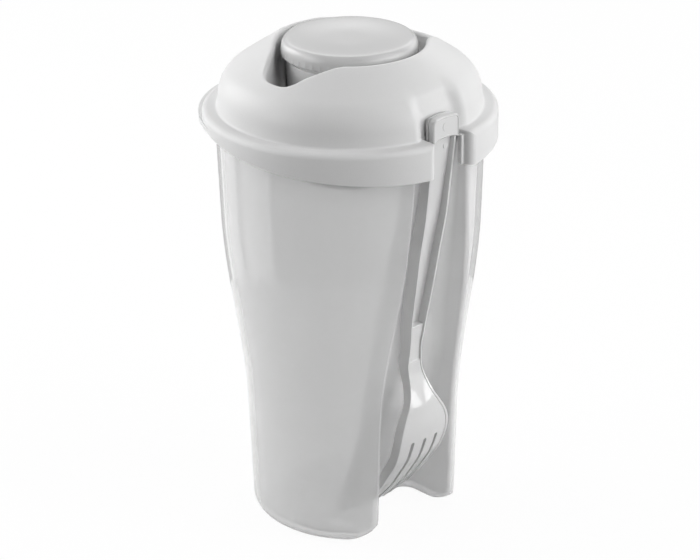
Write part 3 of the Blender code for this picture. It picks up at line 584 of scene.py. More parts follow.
def lid_angle(column):
    """A column's angle from the fork. The columns stand closest together behind the fork's tab."""
    turn = 2.0 * pi * column / LID_COLUMNS - pi
    return turn - COLUMN_CROWDING * sin(turn)


def dent_depth(across, height):
    """How far the dome is pressed in behind the fork's tab."""
    side = smooth((DENT_HALF_WIDTH + DENT_BLEND - abs(across)) / DENT_BLEND)
    fade = 1.0 - smooth((height - LEDGE_TOP - DENT_FULL_HEIGHT) / DENT_FADE_HEIGHT)
    return DENT_DEPTH * side * fade


lid_profiles = [lid_profile(lid_angle(column)) for column in range(LID_COLUMNS)]
lid_rows = len(lid_profiles[0])


def lid_point(across, up):
    """A point of the lid's upper face."""
    column = round(across * LID_COLUMNS) % LID_COLUMNS
    row = round(up * (lid_rows - 1))
    angle = lid_angle(column)
    radius, height = lid_profiles[column][row]
    x = radius * sin(angle)
    y = -radius * cos(angle)
    if cos(angle) > 0.0 and row in DENT_ROWS:
        y += dent_depth(x, height)
    return Vector((x, y, height))


bm = skin(LID_COLUMNS, lid_rows - 1, lid_point)
well_rim = [
    edge for edge in bm.edges
    if edge.is_boundary and edge.verts[0].co.z < WELL_FLOOR + CUT_MARGIN
]
bmesh.ops.holes_fill(bm, edges=well_rim, sides=0)
bmesh.ops.recalc_face_normals(bm, faces=bm.faces)
bm.normal_update()
well_floor = min(bm.faces, key=lambda face: face.calc_center_median().z)
if well_floor.normal.z < 0.0:
    bmesh.ops.reverse_faces(bm, faces=bm.faces)
lid = make_object("domed_lid", bm)
wall = lid.modifiers.new("wall", "SOLIDIFY")
wall.thickness = LID_WALL
wall.offset = -1.0
wall.use_even_offset = True


def prism(outline, low, high):
    """The levels of a straight body."""
    return [(outline, low), (outline, high)]


def tool(name, *bodies):
    """A tool for cutting or welding, made of one body or more, each given as its levels."""
    bm = bmesh.new()
    for levels in bodies:
        body = lofted(levels)
        spare = bpy.data.meshes.new("spare")
        body.to_mesh(spare)
        body.free()
        bm.from_mesh(spare)
        bpy.data.meshes.remove(spare)
    return make_object(name, bm)


def work(item, tool_object, operation):
    """Cut a tool out of a piece, or weld it on."""
    modifier = item.modifiers.new(tool_object.name, "BOOLEAN")
    modifier.operation = operation
    modifier.solver = "EXACT"
    modifier.object = tool_object


def settle(item, tools):
    """Keep the worked shape as the piece's own mesh and put its tools away."""
    bpy.context.view_layer.update()
    depsgraph = bpy.context.evaluated_depsgraph_get()
    mesh = bpy.data.meshes.new_from_object(item.evaluated_get(depsgraph))
    item.modifiers.clear()
    item.data = mesh
    for tool_object in tools:
        bpy.data.objects.remove(tool_object, do_unlink=True)


# The plug ring goes down inside the cup's rim and follows the groove.
plug_bottom = CUP_HEIGHT - PLUG_DEPTH
plug_inset = CUP_WALL + RIM_FIT
plug_outer = cup_outline(plug_bottom, plug_inset, plug_inset)
plug_inner = cup_outline(plug_bottom, plug_inset + PLUG_WALL, plug_inset + PLUG_WALL)
plate_bottom = CUP_HEIGHT + PLATE_GAP
plug = tool("plug_tool", prism(plug_outer, plug_bottom, plate_bottom + WELD_OVERLAP))
plug_cut = prism(plug_inner, plug_bottom - CUT_MARGIN, plate_bottom + 2.0 * CUT_MARGIN)
plug_bore = tool("plug_bore", plug_cut)
work(plug, plug_bore, "DIFFERENCE")

# The plate makes the ledge solid over the cup's rim and over the groove.
plate_radius = (DOME_FOOT_RADIUS + SKIRT_RADIUS - SKIRT_EDGE_RADIUS) / 2.0
plate_edge = arc((0.0, 0.0), plate_radius, 0.0, 2.0 * pi, PLATE_STEPS)[:-1]
plate = tool("plate_tool", prism(plate_edge, plate_bottom, LEDGE_TOP - PLATE_COVER))
plate_bore = tool("plate_bore", prism(plug_inner, plate_bottom - CUT_MARGIN, LEDGE_TOP + CUT_MARGIN))
work(plate, plate_bore, "DIFFERENCE")

# The skirt turns in at the fork's slot, with a lip on each side.
mouth_x = SLOT_HALF_WIDTH + SLOT_MOUTH_RADIUS
mouth_y = -sqrt((SKIRT_RADIUS - SLOT_MOUTH_RADIUS) ** 2 - mouth_x ** 2)
mouth_turn = atan2(mouth_y, mouth_x)


def both_sides(outline):
    """An outline for +X, and the same one for -X."""
    return outline, [(-x, y) for x, y in reversed(outline)]


middle_radius = SKIRT_RADIUS - LID_WALL / 2.0
lip_inside = SLOT_HALF_WIDTH - WELD_OVERLAP
lip_back = -SKIRT_RADIUS + SLOT_LIP_DEPTH
lip_low = LEDGE_TOP - SKIRT_FRONT_DROP + SLOT_LIP_RAISE
lip_high = LEDGE_TOP - SLOT_LIP_SINK
lip_outline = [(lip_inside, lip_back), (SLOT_HALF_WIDTH + LID_WALL, lip_back)]
lip_outline += arc((mouth_x, mouth_y), SLOT_MOUTH_RADIUS - LID_WALL, pi, 2.0 * pi + mouth_turn, steps=8)
lip_outline.append((middle_radius * cos(mouth_turn), middle_radius * sin(mouth_turn)))
lip_outline.append((lip_inside, -sqrt(middle_radius ** 2 - lip_inside ** 2)))
lips = tool("lip_tool", *[prism(side, lip_low, lip_high) for side in both_sides(lip_outline)])


def slot_outline(growth):
    """The slot's plan outline, grown into the lid's material."""
    outside = SKIRT_RADIUS + SLOT_MOUTH_RADIUS
    right = [(SLOT_HALF_WIDTH + growth, -SLOT_BACK)]
    right += arc((mouth_x, mouth_y), SLOT_MOUTH_RADIUS - growth, -pi, mouth_turn, steps=12)
    right.append((outside * cos(mouth_turn), outside * sin(mouth_turn)))
    right.append((SLOT_HALF_WIDTH, -outside))
    return right + [(-x, y) for x, y in reversed(right)]


# The slot goes through the skirt and the ledge, and its top edge is rounded.
slot_levels = [(slot_outline(0.0), LEDGE_TOP - 2.0 * SKIRT_FRONT_DROP)]
for index in range(SLOT_TOP_EDGE_STEPS + 1):
    angle = pi / 2.0 * index / SLOT_TOP_EDGE_STEPS
    growth = SLOT_TOP_EDGE * (1.0 - cos(angle))
    slot_levels.append((slot_outline(growth), LEDGE_TOP - SLOT_TOP_EDGE + SLOT_TOP_EDGE * sin(angle)))
slot_levels.append((slot_outline(SLOT_TOP_EDGE), LEDGE_TOP + SLOT_CUT_HEIGHT))
slot = tool("slot_tool", slot_levels)

# A small rib on each side of the slot holds the fork's tab.
rib_outside = SLOT_HALF_WIDTH + WELD_OVERLAP
rib_front = -SKIRT_RADIUS + RIB_FRONT_DEPTH
rib_back = lip_back - RIB_BACK_STEP
rib_low = LEDGE_TOP - SKIRT_FRONT_DROP + RIB_RAISE
rib_high = LEDGE_TOP - RIB_SINK
rib_outline = [
    (RIB_HALF_GAP, rib_front),
    (rib_outside, rib_front),
    (rib_outside, rib_back),
    (RIB_HALF_GAP, rib_back),
]
ribs = tool("rib_tool", *[prism(side, rib_low, rib_high) for side in both_sides(rib_outline)])

# The lift lip at the back is for prising the lid off.
lift_outer = []
lift_inner = []
for index in range(2 * LIFT_TAB_STEPS + 1):
    place = index / LIFT_TAB_STEPS - 1.0
    angle = pi + LIFT_TAB_ANGLE * place
    reach = SKIRT_RADIUS + LIFT_TAB_REACH * smooth(1.0 - abs(place))
    lift_outer.append((reach * sin(angle), -reach * cos(angle)))
    lift_inner.append((middle_radius * sin(angle), -middle_radius * cos(angle)))
lift_top = LEDGE_TOP - SKIRT_BACK_DROP + WELD_OVERLAP
lift_levels = prism(lift_outer + lift_inner[::-1], lift_top - LIFT_TAB_THICKNESS, lift_top)
lift_tab = tool("lift_tab_tool", lift_levels)

work(lid, plug, "UNION")
work(lid, plate, "UNION")
work(lid, lips, "UNION")
work(lid, slot, "DIFFERENCE")
work(lid, ribs, "UNION")
work(lid, lift_tab, "UNION")
settle(lid, (plug, plug_bore, plate, plate_bore, lips, slot, ribs, lift_tab))
shade(lid.data, matt_white, SHARP_ANGLE)
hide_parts("dome_lid")
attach(lid, "dome_lid")


# Dressing pot: a small beaker moulded in the lid's plastic, with a round foot and a thinner neck.
# A thread of a turn and a half on the neck takes the cap.
POT_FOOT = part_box("dressing_pot")[0].z
POT_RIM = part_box("dressing_pot")[1].z
POT_RADIUS = 0.0243
POT_DRAFT = 0.0010
POT_WALL = 0.0014
POT_FOOT_RADIUS = 0.0040
POT_HOLLOW_DEPTH = 0.0006
POT_HOLLOW_RADIUS = 0.0160
POT_STAND_RADIUS = 0.0168
POT_SHOULDER_DROP = 0.0004
POT_SHOULDER_STEP = 0.0003
POT_STEPS = 120
NECK_RADIUS = 0.0236
NECK_HEIGHT = 0.0060
NECK_EDGE = 0.0004
THREAD_SECTION = (
    (-0.0002, 0.0009),
    (0.0006, 0.0013),
    (-0.0002, 0.0017),
)
THREAD_PITCH = 0.0024
THREAD_TURNS = 1.5
THREAD_STEPS = 108

pot_finish = plastic("pot plastic", pale=0.70, deep=0.66, roughness=(0.30, 0.40), grain_depth=0.00002)


def turn_profile(profile, steps):
    """Spin a (radius, height) profile about the cup's axis."""
    bm = bmesh.new()
    verts = [bm.verts.new((radius, 0.0, height)) for radius, height in profile]
    edges = [bm.edges.new(pair) for pair in zip(verts, verts[1:])]
    bmesh.ops.spin(
        bm,
        geom=verts + edges,
        cent=(0.0, 0.0, 0.0),
        axis=(0.0, 0.0, 1.0),
        angle=2.0 * pi,
        steps=steps,
        use_merge=True,
    )
    bmesh.ops.remove_doubles(bm, verts=bm.verts, dist=MERGE_DISTANCE)
    return bm


neck_foot = POT_RIM - NECK_HEIGHT
neck_bore = NECK_RADIUS - POT_WALL
foot_centre = (POT_RADIUS - POT_DRAFT - POT_FOOT_RADIUS, POT_FOOT + POT_FOOT_RADIUS)
pot_profile = [
    (0.0, POT_FOOT + POT_HOLLOW_DEPTH),
    (POT_HOLLOW_RADIUS, POT_FOOT + POT_HOLLOW_DEPTH),
    (POT_STAND_RADIUS, POT_FOOT),
]
pot_profile += arc(foot_centre, POT_FOOT_RADIUS, -pi / 2.0, 0.0, EDGE_STEPS)
pot_profile += [
    (POT_RADIUS, neck_foot - POT_SHOULDER_DROP),
    (POT_RADIUS - POT_SHOULDER_STEP, neck_foot),
    (NECK_RADIUS, neck_foot),
    (NECK_RADIUS, POT_RIM - NECK_EDGE),
    (NECK_RADIUS - NECK_EDGE, POT_RIM),
    (neck_bore + NECK_EDGE, POT_RIM),
    (neck_bore, POT_RIM - NECK_EDGE),
    (neck_bore, neck_foot - POT_WALL),
]
pot_profile += arc(foot_centre, POT_FOOT_RADIUS - POT_WALL, 0.0, -pi / 2.0, EDGE_STEPS)
pot_profile.append((0.0, POT_FOOT + POT_WALL))
bm = turn_profile(pot_profile, POT_STEPS)
start = [bm.verts.new((NECK_RADIUS + proud, 0.0, neck_foot + rise)) for proud, rise in THREAD_SECTION]
ridge = bm.faces.new(start)
bmesh.ops.spin(
    bm,
    geom=[ridge, *ridge.edges, *start],
    cent=(0.0, 0.0, 0.0),
    axis=(0.0, 0.0, 1.0),
    dvec=(0.0, 0.0, THREAD_PITCH * THREAD_TURNS / THREAD_STEPS),
    angle=2.0 * pi * THREAD_TURNS,
    steps=THREAD_STEPS,
    use_merge=False,
)
pot = piece("pot_body", bm, pot_finish)
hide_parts("dressing_pot")
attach(pot, "dressing_pot")


# Dressing cap: a screw cap in white plastic with fifty grip ribs round its foot.
# Its top is slightly dished inside a full round edge.
CAP_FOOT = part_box("dressing_cap")[0].z
CAP_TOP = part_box("dressing_cap")[1].z
CAP_RADIUS = 0.0262
CAP_WALL = 0.0016
CAP_FOOT_CHAMFER = 0.0003
CAP_EDGE_WIDTH = 0.0027
CAP_EDGE_HEIGHT = 0.0037
CAP_EDGE_STEPS = 12
CAP_DISH = 0.0007
CAP_DISH_STEEPNESS = 1.4
CAP_DISH_STEPS = 16
CAP_SHARP_ANGLE = 50.0
CAP_RIB_COUNT = 50
CAP_RIB_STEPS = 8
CAP_RIB_ROWS = 4
CAP_RIB_DEPTH = 0.00027
CAP_RIB_HEIGHT = 0.0024
CAP_RIB_NARROWNESS = 8
CAP_RIB_START = 0.05
CAP_RIB_FADE = 0.9
CAP_RIB_FADE_SHARE = 0.5
CAP_RIB_END = 1.1
CAP_RIB_SKIN = 0.0001

cap_finish = plastic("cap plastic", pale=0.60, deep=0.56, roughness=(0.22, 0.28), grain_depth=0.00002)

cap_inner = CAP_RADIUS - CAP_WALL
ceiling = CAP_TOP - CAP_WALL
crest = CAP_RADIUS - CAP_EDGE_WIDTH
cap_profile = [
    (0.0, ceiling),
    (cap_inner, ceiling),
    (cap_inner, CAP_FOOT + CAP_FOOT_CHAMFER),
    (cap_inner + CAP_FOOT_CHAMFER, CAP_FOOT),
    (CAP_RADIUS - CAP_FOOT_CHAMFER, CAP_FOOT),
    (CAP_RADIUS, CAP_FOOT + CAP_FOOT_CHAMFER),
]
for index in range(1, CAP_RIB_ROWS + 1):
    cap_profile.append((CAP_RADIUS, CAP_FOOT + CAP_RIB_HEIGHT * index / CAP_RIB_ROWS))
for index in range(CAP_EDGE_STEPS + 1):
    angle = pi / 2.0 * index / CAP_EDGE_STEPS
    height = CAP_TOP - CAP_EDGE_HEIGHT * (1.0 - sin(angle))
    cap_profile.append((crest + CAP_EDGE_WIDTH * cos(angle), height))
for index in range(1, CAP_DISH_STEPS + 1):
    share = index / CAP_DISH_STEPS
    height = CAP_TOP - CAP_DISH * smooth(CAP_DISH_STEEPNESS * share)
    cap_profile.append((crest * (1.0 - share), height))
bm = turn_profile(cap_profile, CAP_RIB_COUNT * CAP_RIB_STEPS)
for vert in bm.verts:
    radius = hypot(vert.co.x, vert.co.y)
    above = (vert.co.z - CAP_FOOT) / CAP_RIB_HEIGHT
    if radius > CAP_RADIUS - CAP_RIB_SKIN and CAP_RIB_START < above < CAP_RIB_END:
        wave = max(cos(atan2(vert.co.y, vert.co.x) * CAP_RIB_COUNT), 0.0)
        growth = CAP_RIB_DEPTH * wave ** CAP_RIB_NARROWNESS
        growth *= 1.0 if above < CAP_RIB_FADE else CAP_RIB_FADE_SHARE
        vert.co.x *= 1.0 + growth / radius
        vert.co.y *= 1.0 + growth / radius
cap = piece("screw_cap", bm, cap_finish, CAP_SHARP_ANGLE)
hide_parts("dressing_cap")
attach(cap, "dressing_cap")


# Fork: a long-handled plastic fork, moulded with a channel down its handle between two thin rims.
# The head bows out to the front, and the tab on top is pushed down into the lid's slot.
FORK_GAP = 0.0006
FORK_REACH_INTO_TAB = 0.0020
FORK_TOP = CUP_HEIGHT + FORK_REACH_INTO_TAB
FORK_FOOT = 0.00475
FORK_STEPS = 96
FORK_SHARP_ANGLE = 40.0
FORK_EDGE_RADIUS = 0.00022
HANDLE_DEPTH = 0.0060
HANDLE_DEPTHS = (
    (0.428, 0.88),
    (0.470, 0.93),
    (0.510, 1.00),
    (0.720, 1.00),
    (0.814, 0.87),
    (0.908, 0.73),
    (1.000, 0.60),
)
HEAD_TOP = 0.084
HEAD_FRONTS = (
    (0.0048, 0.0154),
    (0.010, 0.0210),
    (0.016, 0.0265),
    (0.020, 0.0298),
    (0.028, 0.0355),
    (0.032, 0.0380),
    (0.036, 0.0397),
    (0.040, 0.0411),
    (0.044, 0.0420),
    (0.048, 0.0424),
    (0.052, 0.0423),
    (0.056, 0.0415),
    (0.060, 0.0398),
    (0.064, 0.0380),
    (0.068, 0.0362),
    (0.0705, 0.0356),
    (0.072, 0.0355),
    (0.076, 0.0358),
    (0.080, 0.0362),
)
FORK_HALF_WIDTHS = (
    (0.0048, 0.0076),
    (0.010, 0.0087),
    (0.016, 0.0099),
    (0.024, 0.0115),
    (0.032, 0.0122),
    (0.040, 0.0128),
    (0.044, 0.0128),
    (0.048, 0.0122),
    (0.052, 0.0108),
    (0.056, 0.0086),
    (0.060, 0.0063),
    (0.064, 0.0049),
    (0.068, 0.0040),
    (0.072, 0.0037),
    (0.080, 0.0032),
    (0.090, 0.0040),
    (0.100, 0.0046),
    (0.120, 0.0054),
    (0.140, 0.0058),
    (0.1735, 0.0060),
)
HEAD_THICKNESS = 0.0026
FORK_THICKNESSES = (
    (0.028, 0.60),
    (0.103, 0.85),
    (0.208, 1.00),
    (0.327, 1.05),
    (0.373, 1.15),
    (0.428, 1.55),
    (0.470, 2.00),
)
HEAD_HALF_WIDTH = 0.0130
HEAD_CROWN = 0.0010
CROWN_START = 0.3
CROWN_FULL = 0.8
SLOPE_STEP = 0.0004
HANDLE_SQUARE_FROM = 0.074
HANDLE_SQUARE_BLEND = 0.006
FLANGE_DEPTH = 0.0015
TINE_PITCH = 0.0065
TIP_START = 0.0127
TIP_SHARE = 0.25
SLOT_WIDTH = 0.0017
SLOT_ROOT = 0.0412
SLOT_ROOT_SHARE = 0.1
SLOT_LEAST_SHARE = 0.75
SLOT_NARROWS_UNDER = 0.5
SLOT_ROOT_STATIONS = (0.0, 0.07, 0.25, 0.5, 1.0)
SLOT_ROOT_CLEAR_ABOVE = 0.0004
SLOT_ROOT_CLEAR_BELOW = 0.0012
SLOT_ROOT_TOLERANCE = 0.00001
STRIPS_BETWEEN_TINES = (3, 6, 9)
CHANNEL_FOOT = 0.0885
CHANNEL_RIM = 0.0011
CHANNEL_RIM_SHARE = 0.3
CHANNEL_WALL_RUN = 0.0001
CHANNEL_DEPTHS = (
    (0.089, 0.0037),
    (0.125, 0.0035),
    (0.150, 0.0026),
    (0.168, 0.0019),
)
RECESS_FOOT = 0.0726
RECESS_DEPTH = 0.0008
FLOOR_STEP_LENGTH = 0.0006
FLOOR_STEP_STATIONS = (-0.0002, 0.0, 0.0002, 0.0004, 0.0006)
FLOOR_STEP_CLEAR = 0.0009
EDGE_RISE = 0.0003
EDGE_RISE_LENGTH = 0.02

fork_finish = plastic(
    "fork plastic",
    pale=0.74,
    deep=0.70,
    roughness=(0.14, 0.20),
    grain_depth=0.000005,
    settings=(
        ("Specular IOR Level", 0.3),
        ("Coat Weight", 0.5),
        ("Coat Roughness", 0.03),
    ),
)


def fork_back(height):
    """Distance from the axis of the line that the handle's back follows."""
    return groove_sizes(min(height, CUP_HEIGHT))[1] + FORK_GAP


def fork_front(height):
    """Distance from the axis of the fork's front face."""
    handle = fork_back(height) + HANDLE_DEPTH * read(HANDLE_DEPTHS, height / CUP_HEIGHT)
    if height >= HEAD_TOP:
        return handle
    share = smooth((height - HEAD_FRONTS[-1][0]) / (HEAD_TOP - HEAD_FRONTS[-1][0]))
    return read(HEAD_FRONTS, height) * (1.0 - share) + handle * share


def fork_thickness(height):
    """The fork's thickness, which is the full depth along the handle."""
    share = height / CUP_HEIGHT
    full = fork_front(height) - fork_back(height)
    if share >= FORK_THICKNESSES[-1][0]:
        return full
    return min(HEAD_THICKNESS * read(FORK_THICKNESSES, share), full)


def fork_crown(across, half_width):
    """How far the face falls back towards its edges, which only the wide head does."""
    crown = HEAD_CROWN * smooth((half_width / HEAD_HALF_WIDTH - CROWN_START) / (CROWN_FULL - CROWN_START))
    return crown * (across / half_width) ** 2


def fork_place(across, depth, height):
    """Bend a flat fork's point onto the fork's line, with its depth measured into the fork."""
    slope = (fork_front(height + SLOPE_STEP) - fork_front(height - SLOPE_STEP)) / (2.0 * SLOPE_STEP)
    slope *= 1.0 - smooth((height - HANDLE_SQUARE_FROM) / HANDLE_SQUARE_BLEND)
    length = hypot(1.0, slope)
    return Vector((across, -fork_front(height) + depth / length, height + depth * slope / length))


def tine_edges(height):
    """Where the tines' edges stand across the fork, from left to right."""
    half_width = read(FORK_HALF_WIDTHS, height)
    spread = half_width / HEAD_HALF_WIDTH
    below_root = min(max((SLOT_ROOT - height) / (SLOT_WIDTH / 2.0), 0.0), 1.0)
    opened = SLOT_ROOT_SHARE + (1.0 - SLOT_ROOT_SHARE) * sqrt(1.0 - (1.0 - below_root) ** 2)
    narrowed = max(spread, SLOT_LEAST_SHARE)
    half_slot = SLOT_WIDTH * opened * narrowed / 2.0 * min(spread / SLOT_NARROWS_UNDER, 1.0)
    edges = [-half_width]
    for index in (-1, 0, 1):
        middle = index * TINE_PITCH * spread
        edges += [middle - half_slot, middle + half_slot]
    edges.append(half_width)
    tip = (height - FORK_FOOT) / (TIP_START - FORK_FOOT)
    if tip < 1.0:
        keep = TIP_SHARE + (1.0 - TIP_SHARE) * sqrt(max(1.0 - (1.0 - tip) ** 2, 0.0))
        for index in (0, 2, 4, 6):
            middle = (edges[index] + edges[index + 1]) / 2.0
            half = (edges[index + 1] - edges[index]) / 2.0 * keep
            edges[index] = middle - half
            edges[index + 1] = middle + half
    return edges


def floor_depth(height):
    """How far the front face is sunk between the fork's rims."""
    channel = read(CHANNEL_DEPTHS, height) * smooth((height - CHANNEL_FOOT) / FLOOR_STEP_LENGTH)
    recess = RECESS_DEPTH * smooth((height - RECESS_FOOT) / FLOOR_STEP_LENGTH)
    rise = EDGE_RISE * smooth((height - TIP_START) / EDGE_RISE_LENGTH)
    return max(channel, recess, rise)


def fork_row(height):
    """(place across, depth below the front) of the lines down the fork, from left to right."""
    half_width = read(FORK_HALF_WIDTHS, height)
    edges = tine_edges(height)
    rim = min(CHANNEL_RIM, CHANNEL_RIM_SHARE * (edges[1] - edges[0]))
    floor = floor_depth(height)
    places = [(edges[0], 0.0), (edges[0] + rim, 0.0), (edges[0] + rim + CHANNEL_WALL_RUN, floor)]
    for index in range(1, 7):
        places.append((edges[index], floor))
        if index in (2, 4):
            places.append(((edges[index] + edges[index + 1]) / 2.0, floor))
    places += [(edges[7] - rim - CHANNEL_WALL_RUN, floor), (edges[7] - rim, 0.0), (edges[7], 0.0)]
    return [(x, dip + fork_crown(x, half_width)) for x, dip in places]


fork_heights = [FORK_TOP - (FORK_TOP - FORK_FOOT) * index / FORK_STEPS for index in range(FORK_STEPS + 1)]
for foot in (CHANNEL_FOOT, RECESS_FOOT):
    fork_heights = [height for height in fork_heights if abs(height - foot) > FLOOR_STEP_CLEAR]
    fork_heights += [foot + station for station in FLOOR_STEP_STATIONS]
fork_heights = [
    height for height in fork_heights
    if not -SLOT_ROOT_CLEAR_ABOVE < SLOT_ROOT - height < SLOT_ROOT_CLEAR_BELOW
]
fork_heights += [SLOT_ROOT - SLOT_WIDTH / 2.0 * share for share in SLOT_ROOT_STATIONS]
fork_heights.sort(reverse=True)
fork_rows = [fork_row(height) for height in fork_heights]
last_row = len(fork_heights) - 1
last_column = len(fork_rows[0]) - 1

# A flat grid loses its strips between the tines, gets a back, and is bent onto the fork's line.
bm = bmesh.new()
bmesh.ops.create_grid(bm, x_segments=last_column, y_segments=last_row, size=1.0)
row_of = bm.verts.layers.int.new("row")
column_of = bm.verts.layers.int.new("column")
back_of = bm.verts.layers.int.new("back")
for vert in bm.verts:
    vert[column_of] = round((0.5 + vert.co.x / 2.0) * last_column)
    vert[row_of] = round((0.5 - vert.co.y / 2.0) * last_row)
slots = []
for face in bm.faces:
    strip = min(vert[column_of] for vert in face.verts)
    top = max(fork_heights[vert[row_of]] for vert in face.verts)
    if strip in STRIPS_BETWEEN_TINES and top < SLOT_ROOT + SLOT_ROOT_TOLERANCE:
        slots.append(face)
bmesh.ops.delete(bm, geom=slots, context="FACES")
grown = bmesh.ops.extrude_face_region(bm, geom=bm.faces[:])
for item in grown["geom"]:
    if isinstance(item, bmesh.types.BMVert):
        item[back_of] = 1
for vert in bm.verts:
    height = fork_heights[vert[row_of]]
    x, dip = fork_rows[vert[row_of]][vert[column_of]]
    if vert[back_of]:
        dip = fork_thickness(height) + fork_crown(x, read(FORK_HALF_WIDTHS, height))
        if vert[column_of] in (0, 1, last_column - 1, last_column):
            dip = min(dip + FLANGE_DEPTH, max(fork_front(height) - fork_back(height), dip))
    vert.co = fork_place(x, dip, height)
fork = piece("fork_body", bm, fork_finish, FORK_SHARP_ANGLE)
rounding = fork.modifiers.new("moulded edges", "BEVEL")
rounding.width = FORK_EDGE_RADIUS
rounding.segments = 2
rounding.limit_method = "ANGLE"
rounding.angle_limit = radians(FORK_SHARP_ANGLE)
rounding.use_clamp_overlap = True
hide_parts("fork")
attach(fork, "fork")

# The fork's tab is moulded in one with the handle. Its face is sunk inside a raised rim and shows
# an ejector's round mark, and a small stud stands in the channel below it. Its layers are given as
# (depth behind the front, inset).
TAB_HALF_WIDTH = 0.0069
TAB_PROUD = 0.0008
TAB_FRONT = fork_front(CUP_HEIGHT) + TAB_PROUD
TAB_HEIGHT = 0.0100
TAB_CORNER_RADIUS = 0.0026
TAB_CROWN = 0.0003
TAB_CROWN_STEPS = 8
TAB_ARCH = 0.0013
TAB_RIM_DEPTH = 0.00025
TAB_LAYERS = (
    (TAB_RIM_DEPTH, 0.0009),
    (0.0000, 0.0007),
    (0.0000, 0.00045),
    (0.0004, 0.00005),
    (0.0026, 0.0),
    (0.0027, 0.0003),
    (0.0030, 0.0003),
    (0.0031, 0.0),
    (0.0041, 0.00005),
    (0.0044, 0.0004),
)
EJECTOR_RADIUS = 0.0019
EJECTOR_RISE = 0.00012
EJECTOR_LENGTH = 0.0006
STUD_RADIUS = 0.0012
STUD_RISE = 0.0002
STUD_LENGTH = 0.0006
STUD_PLACE = (0.0025, 0.1662)
MARK_SEGMENTS = 40


def tab_outline(inset):
    """The tab's outline seen from the front, set inwards."""
    half_width = TAB_HALF_WIDTH - inset
    radius = TAB_CORNER_RADIUS - inset
    shoulder = CUP_HEIGHT + TAB_HEIGHT - TAB_CROWN - TAB_CORNER_RADIUS
    corner_x = half_width - radius
    outline = arc((corner_x, shoulder), radius, 0.0, pi / 2.0, EDGE_STEPS)
    for index in range(1, TAB_CROWN_STEPS):
        x = corner_x * (1.0 - index / (TAB_CROWN_STEPS / 2.0))
        outline.append((x, shoulder + radius + TAB_CROWN * (1.0 - (x / corner_x) ** 2)))
    outline += arc((-corner_x, shoulder), radius, pi / 2.0, pi, EDGE_STEPS)
    arch_radius = (half_width ** 2 + TAB_ARCH ** 2) / (2.0 * TAB_ARCH)
    swing = atan2(half_width, arch_radius - TAB_ARCH)
    centre = (0.0, CUP_HEIGHT + inset + TAB_ARCH - arch_radius)
    return outline + arc(centre, arch_radius, pi / 2.0 + swing, pi / 2.0 - swing, steps=12)


def facing_front(x, z, depth):
    """Stand a layer's point up, at its depth behind the tab's front."""
    return Vector((x, -TAB_FRONT + depth, z))


bm = lofted([(tab_outline(inset), depth) for depth, inset in TAB_LAYERS], facing_front)
face_middle = CUP_HEIGHT + TAB_ARCH + (TAB_HEIGHT - TAB_ARCH) / 2.0
channel_floor = fork_front(STUD_PLACE[1]) - read(CHANNEL_DEPTHS, STUD_PLACE[1])
for radius, front, place, length in (
    (EJECTOR_RADIUS, TAB_FRONT - TAB_RIM_DEPTH + EJECTOR_RISE, (0.0, face_middle), EJECTOR_LENGTH),
    (STUD_RADIUS, channel_floor + STUD_RISE, STUD_PLACE, STUD_LENGTH),
):
    middle = Vector((place[0], -front + length / 2.0, place[1]))
    bmesh.ops.create_cone(
        bm,
        cap_ends=True,
        segments=MARK_SEGMENTS,
        radius1=radius,
        radius2=radius,
        depth=length,
        matrix=Matrix.Translation(middle) @ Matrix.Rotation(pi / 2.0, 4, "X"),
    )
tab = piece("fork_tab", bm, fork_finish, FORK_SHARP_ANGLE)
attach(tab, "fork")


# Stage: a small pale table on a wide floor, with soft boxes all round. Three low strips reach below
# the table's edge, so that the cup's sides mirror them down to the foot.
LAMP_AIM = Vector((0.0, 0.0, 0.10))
LAMP_DISTANCE = 1.1
REAR_DISTANCE = 1.2
TABLE_RADIUS = 0.22
TABLE_DROP = 0.0002
FLOOR_RADIUS = 7.0
STAGE_SEGMENTS = 96
PAPER_ROUGHNESS = 0.8
PAPER_TONE = 0.86
PAPER_BOUNCE_TONE = 0.45
PAPER_WHITENESS = 0.95
WORLD_LEVEL = 0.03
WORLD_MIRRORED_SHARE = 0.45
WHITE = 1.0


def lamp(name, turn, pitch, distance, width, height, radiance):
    """A soft box that faces the cup, placed in degrees from the fork and above the floor."""
    light = bpy.data.lights.new(name, "AREA")
    light.shape = "RECTANGLE"
    light.size = width
    light.size_y = height
    light.energy = radiance * pi * width * height
    item = bpy.data.objects.new(name, light)
    turn = radians(turn)
    pitch = radians(pitch)
    away = Vector((sin(turn) * cos(pitch), -cos(turn) * cos(pitch), sin(pitch)))
    item.location = LAMP_AIM + away * distance
    item.rotation_mode = "QUATERNION"
    item.rotation_quaternion = (-away).to_track_quat("-Z", "Y")
    scene.collection.objects.link(item)


lamp("left box", -160.0, 22.0, LAMP_DISTANCE, 0.6, 0.6, radiance=3.8)
lamp("left side box", -110.0, 20.0, LAMP_DISTANCE, 0.6, 0.6, radiance=2.8)
lamp("left upper box", -140.0, 38.0, LAMP_DISTANCE, 0.9, 0.7, radiance=2.2)
lamp("right box", 29.0, 17.0, LAMP_DISTANCE, 0.22, 0.60, radiance=6.6)
lamp("right slim box", 45.0, 17.0, LAMP_DISTANCE, 0.16, 0.60, radiance=6.6)
lamp("right upper box", 36.0, 55.0, LAMP_DISTANCE, 0.6, 0.6, radiance=2.3)
lamp("front box", 8.0, 30.0, LAMP_DISTANCE, 0.5, 0.55, radiance=2.7)
lamp("low front box", 4.0, 8.0, LAMP_DISTANCE, 0.4, 0.5, radiance=2.0)
lamp("right side box", 95.0, 25.0, LAMP_DISTANCE, 0.6, 0.6, radiance=1.3)
lamp("rear box", 136.0, 40.0, REAR_DISTANCE, 1.2, 0.5, radiance=2.4)
lamp("left strip", -135.0, -14.0, LAMP_DISTANCE, 0.64, 1.3, radiance=1.0)
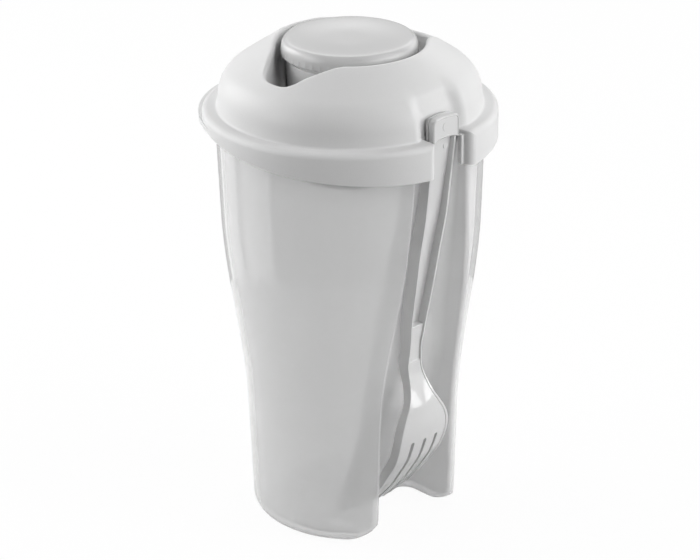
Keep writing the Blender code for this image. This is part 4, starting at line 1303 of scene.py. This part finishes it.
lamp("left rear strip", -176.0, -14.0, LAMP_DISTANCE, 0.60, 1.3, radiance=0.8)
lamp("right strip", 86.0, -14.0, LAMP_DISTANCE, 0.36, 1.3, radiance=0.9)


def seen_directly(tree, rays):
    """Whether a ray comes from the camera or through the cup, from a tree's Light Path node."""
    return reckoned(tree, "MAXIMUM", rays.outputs["Is Camera Ray"], rays.outputs["Is Transmission Ray"])


table_finish = bpy.data.materials.new("pale table")
table_finish.use_nodes = True
tree = table_finish.node_tree
rays = tree.nodes.new("ShaderNodeLightPath")
paper = tree.nodes["Principled BSDF"]
paper.inputs["Roughness"].default_value = PAPER_ROUGHNESS
bounce = ranged(tree, rays.outputs["Is Diffuse Ray"], PAPER_TONE, PAPER_BOUNCE_TONE)
tree.links.new(bounce, paper.inputs["Base Color"])
white = tree.nodes.new("ShaderNodeEmission")
white.inputs["Strength"].default_value = WHITE
blend = tree.nodes.new("ShaderNodeMixShader")
whiteness = reckoned(tree, "MULTIPLY", seen_directly(tree, rays), PAPER_WHITENESS)
tree.links.new(whiteness, blend.inputs["Fac"])
tree.links.new(paper.outputs["BSDF"], blend.inputs[1])
tree.links.new(white.outputs["Emission"], blend.inputs[2])
tree.links.new(blend.outputs["Shader"], tree.nodes["Material Output"].inputs["Surface"])

bm = bmesh.new()
bmesh.ops.create_circle(bm, cap_ends=True, segments=STAGE_SEGMENTS, radius=TABLE_RADIUS)
bmesh.ops.translate(bm, verts=bm.verts, vec=(0.0, 0.0, -TABLE_DROP))
table = piece("table", bm, table_finish)
bm = bmesh.new()
for radius in (TABLE_RADIUS, FLOOR_RADIUS):
    bmesh.ops.create_circle(bm, segments=STAGE_SEGMENTS, radius=radius)
bmesh.ops.bridge_loops(bm, edges=bm.edges)
bmesh.ops.translate(bm, verts=bm.verts, vec=(0.0, 0.0, -TABLE_DROP))
floor = piece("floor", bm, table_finish)
floor.visible_glossy = False

world = bpy.data.worlds.new("studio")
scene.world = world
world.use_nodes = True
tree = world.node_tree
rays = tree.nodes.new("ShaderNodeLightPath")
sky = tree.nodes["Background"]
sky.inputs["Color"].default_value = (WHITE, WHITE, WHITE, 1.0)
mirrored = rays.outputs["Is Glossy Ray"]
shown = reckoned(tree, "MULTIPLY_ADD", mirrored, WORLD_MIRRORED_SHARE, seen_directly(tree, rays))
tree.links.new(ranged(tree, shown, WORLD_LEVEL, WHITE), sky.inputs["Strength"])

scene.view_settings.view_transform = "Standard"
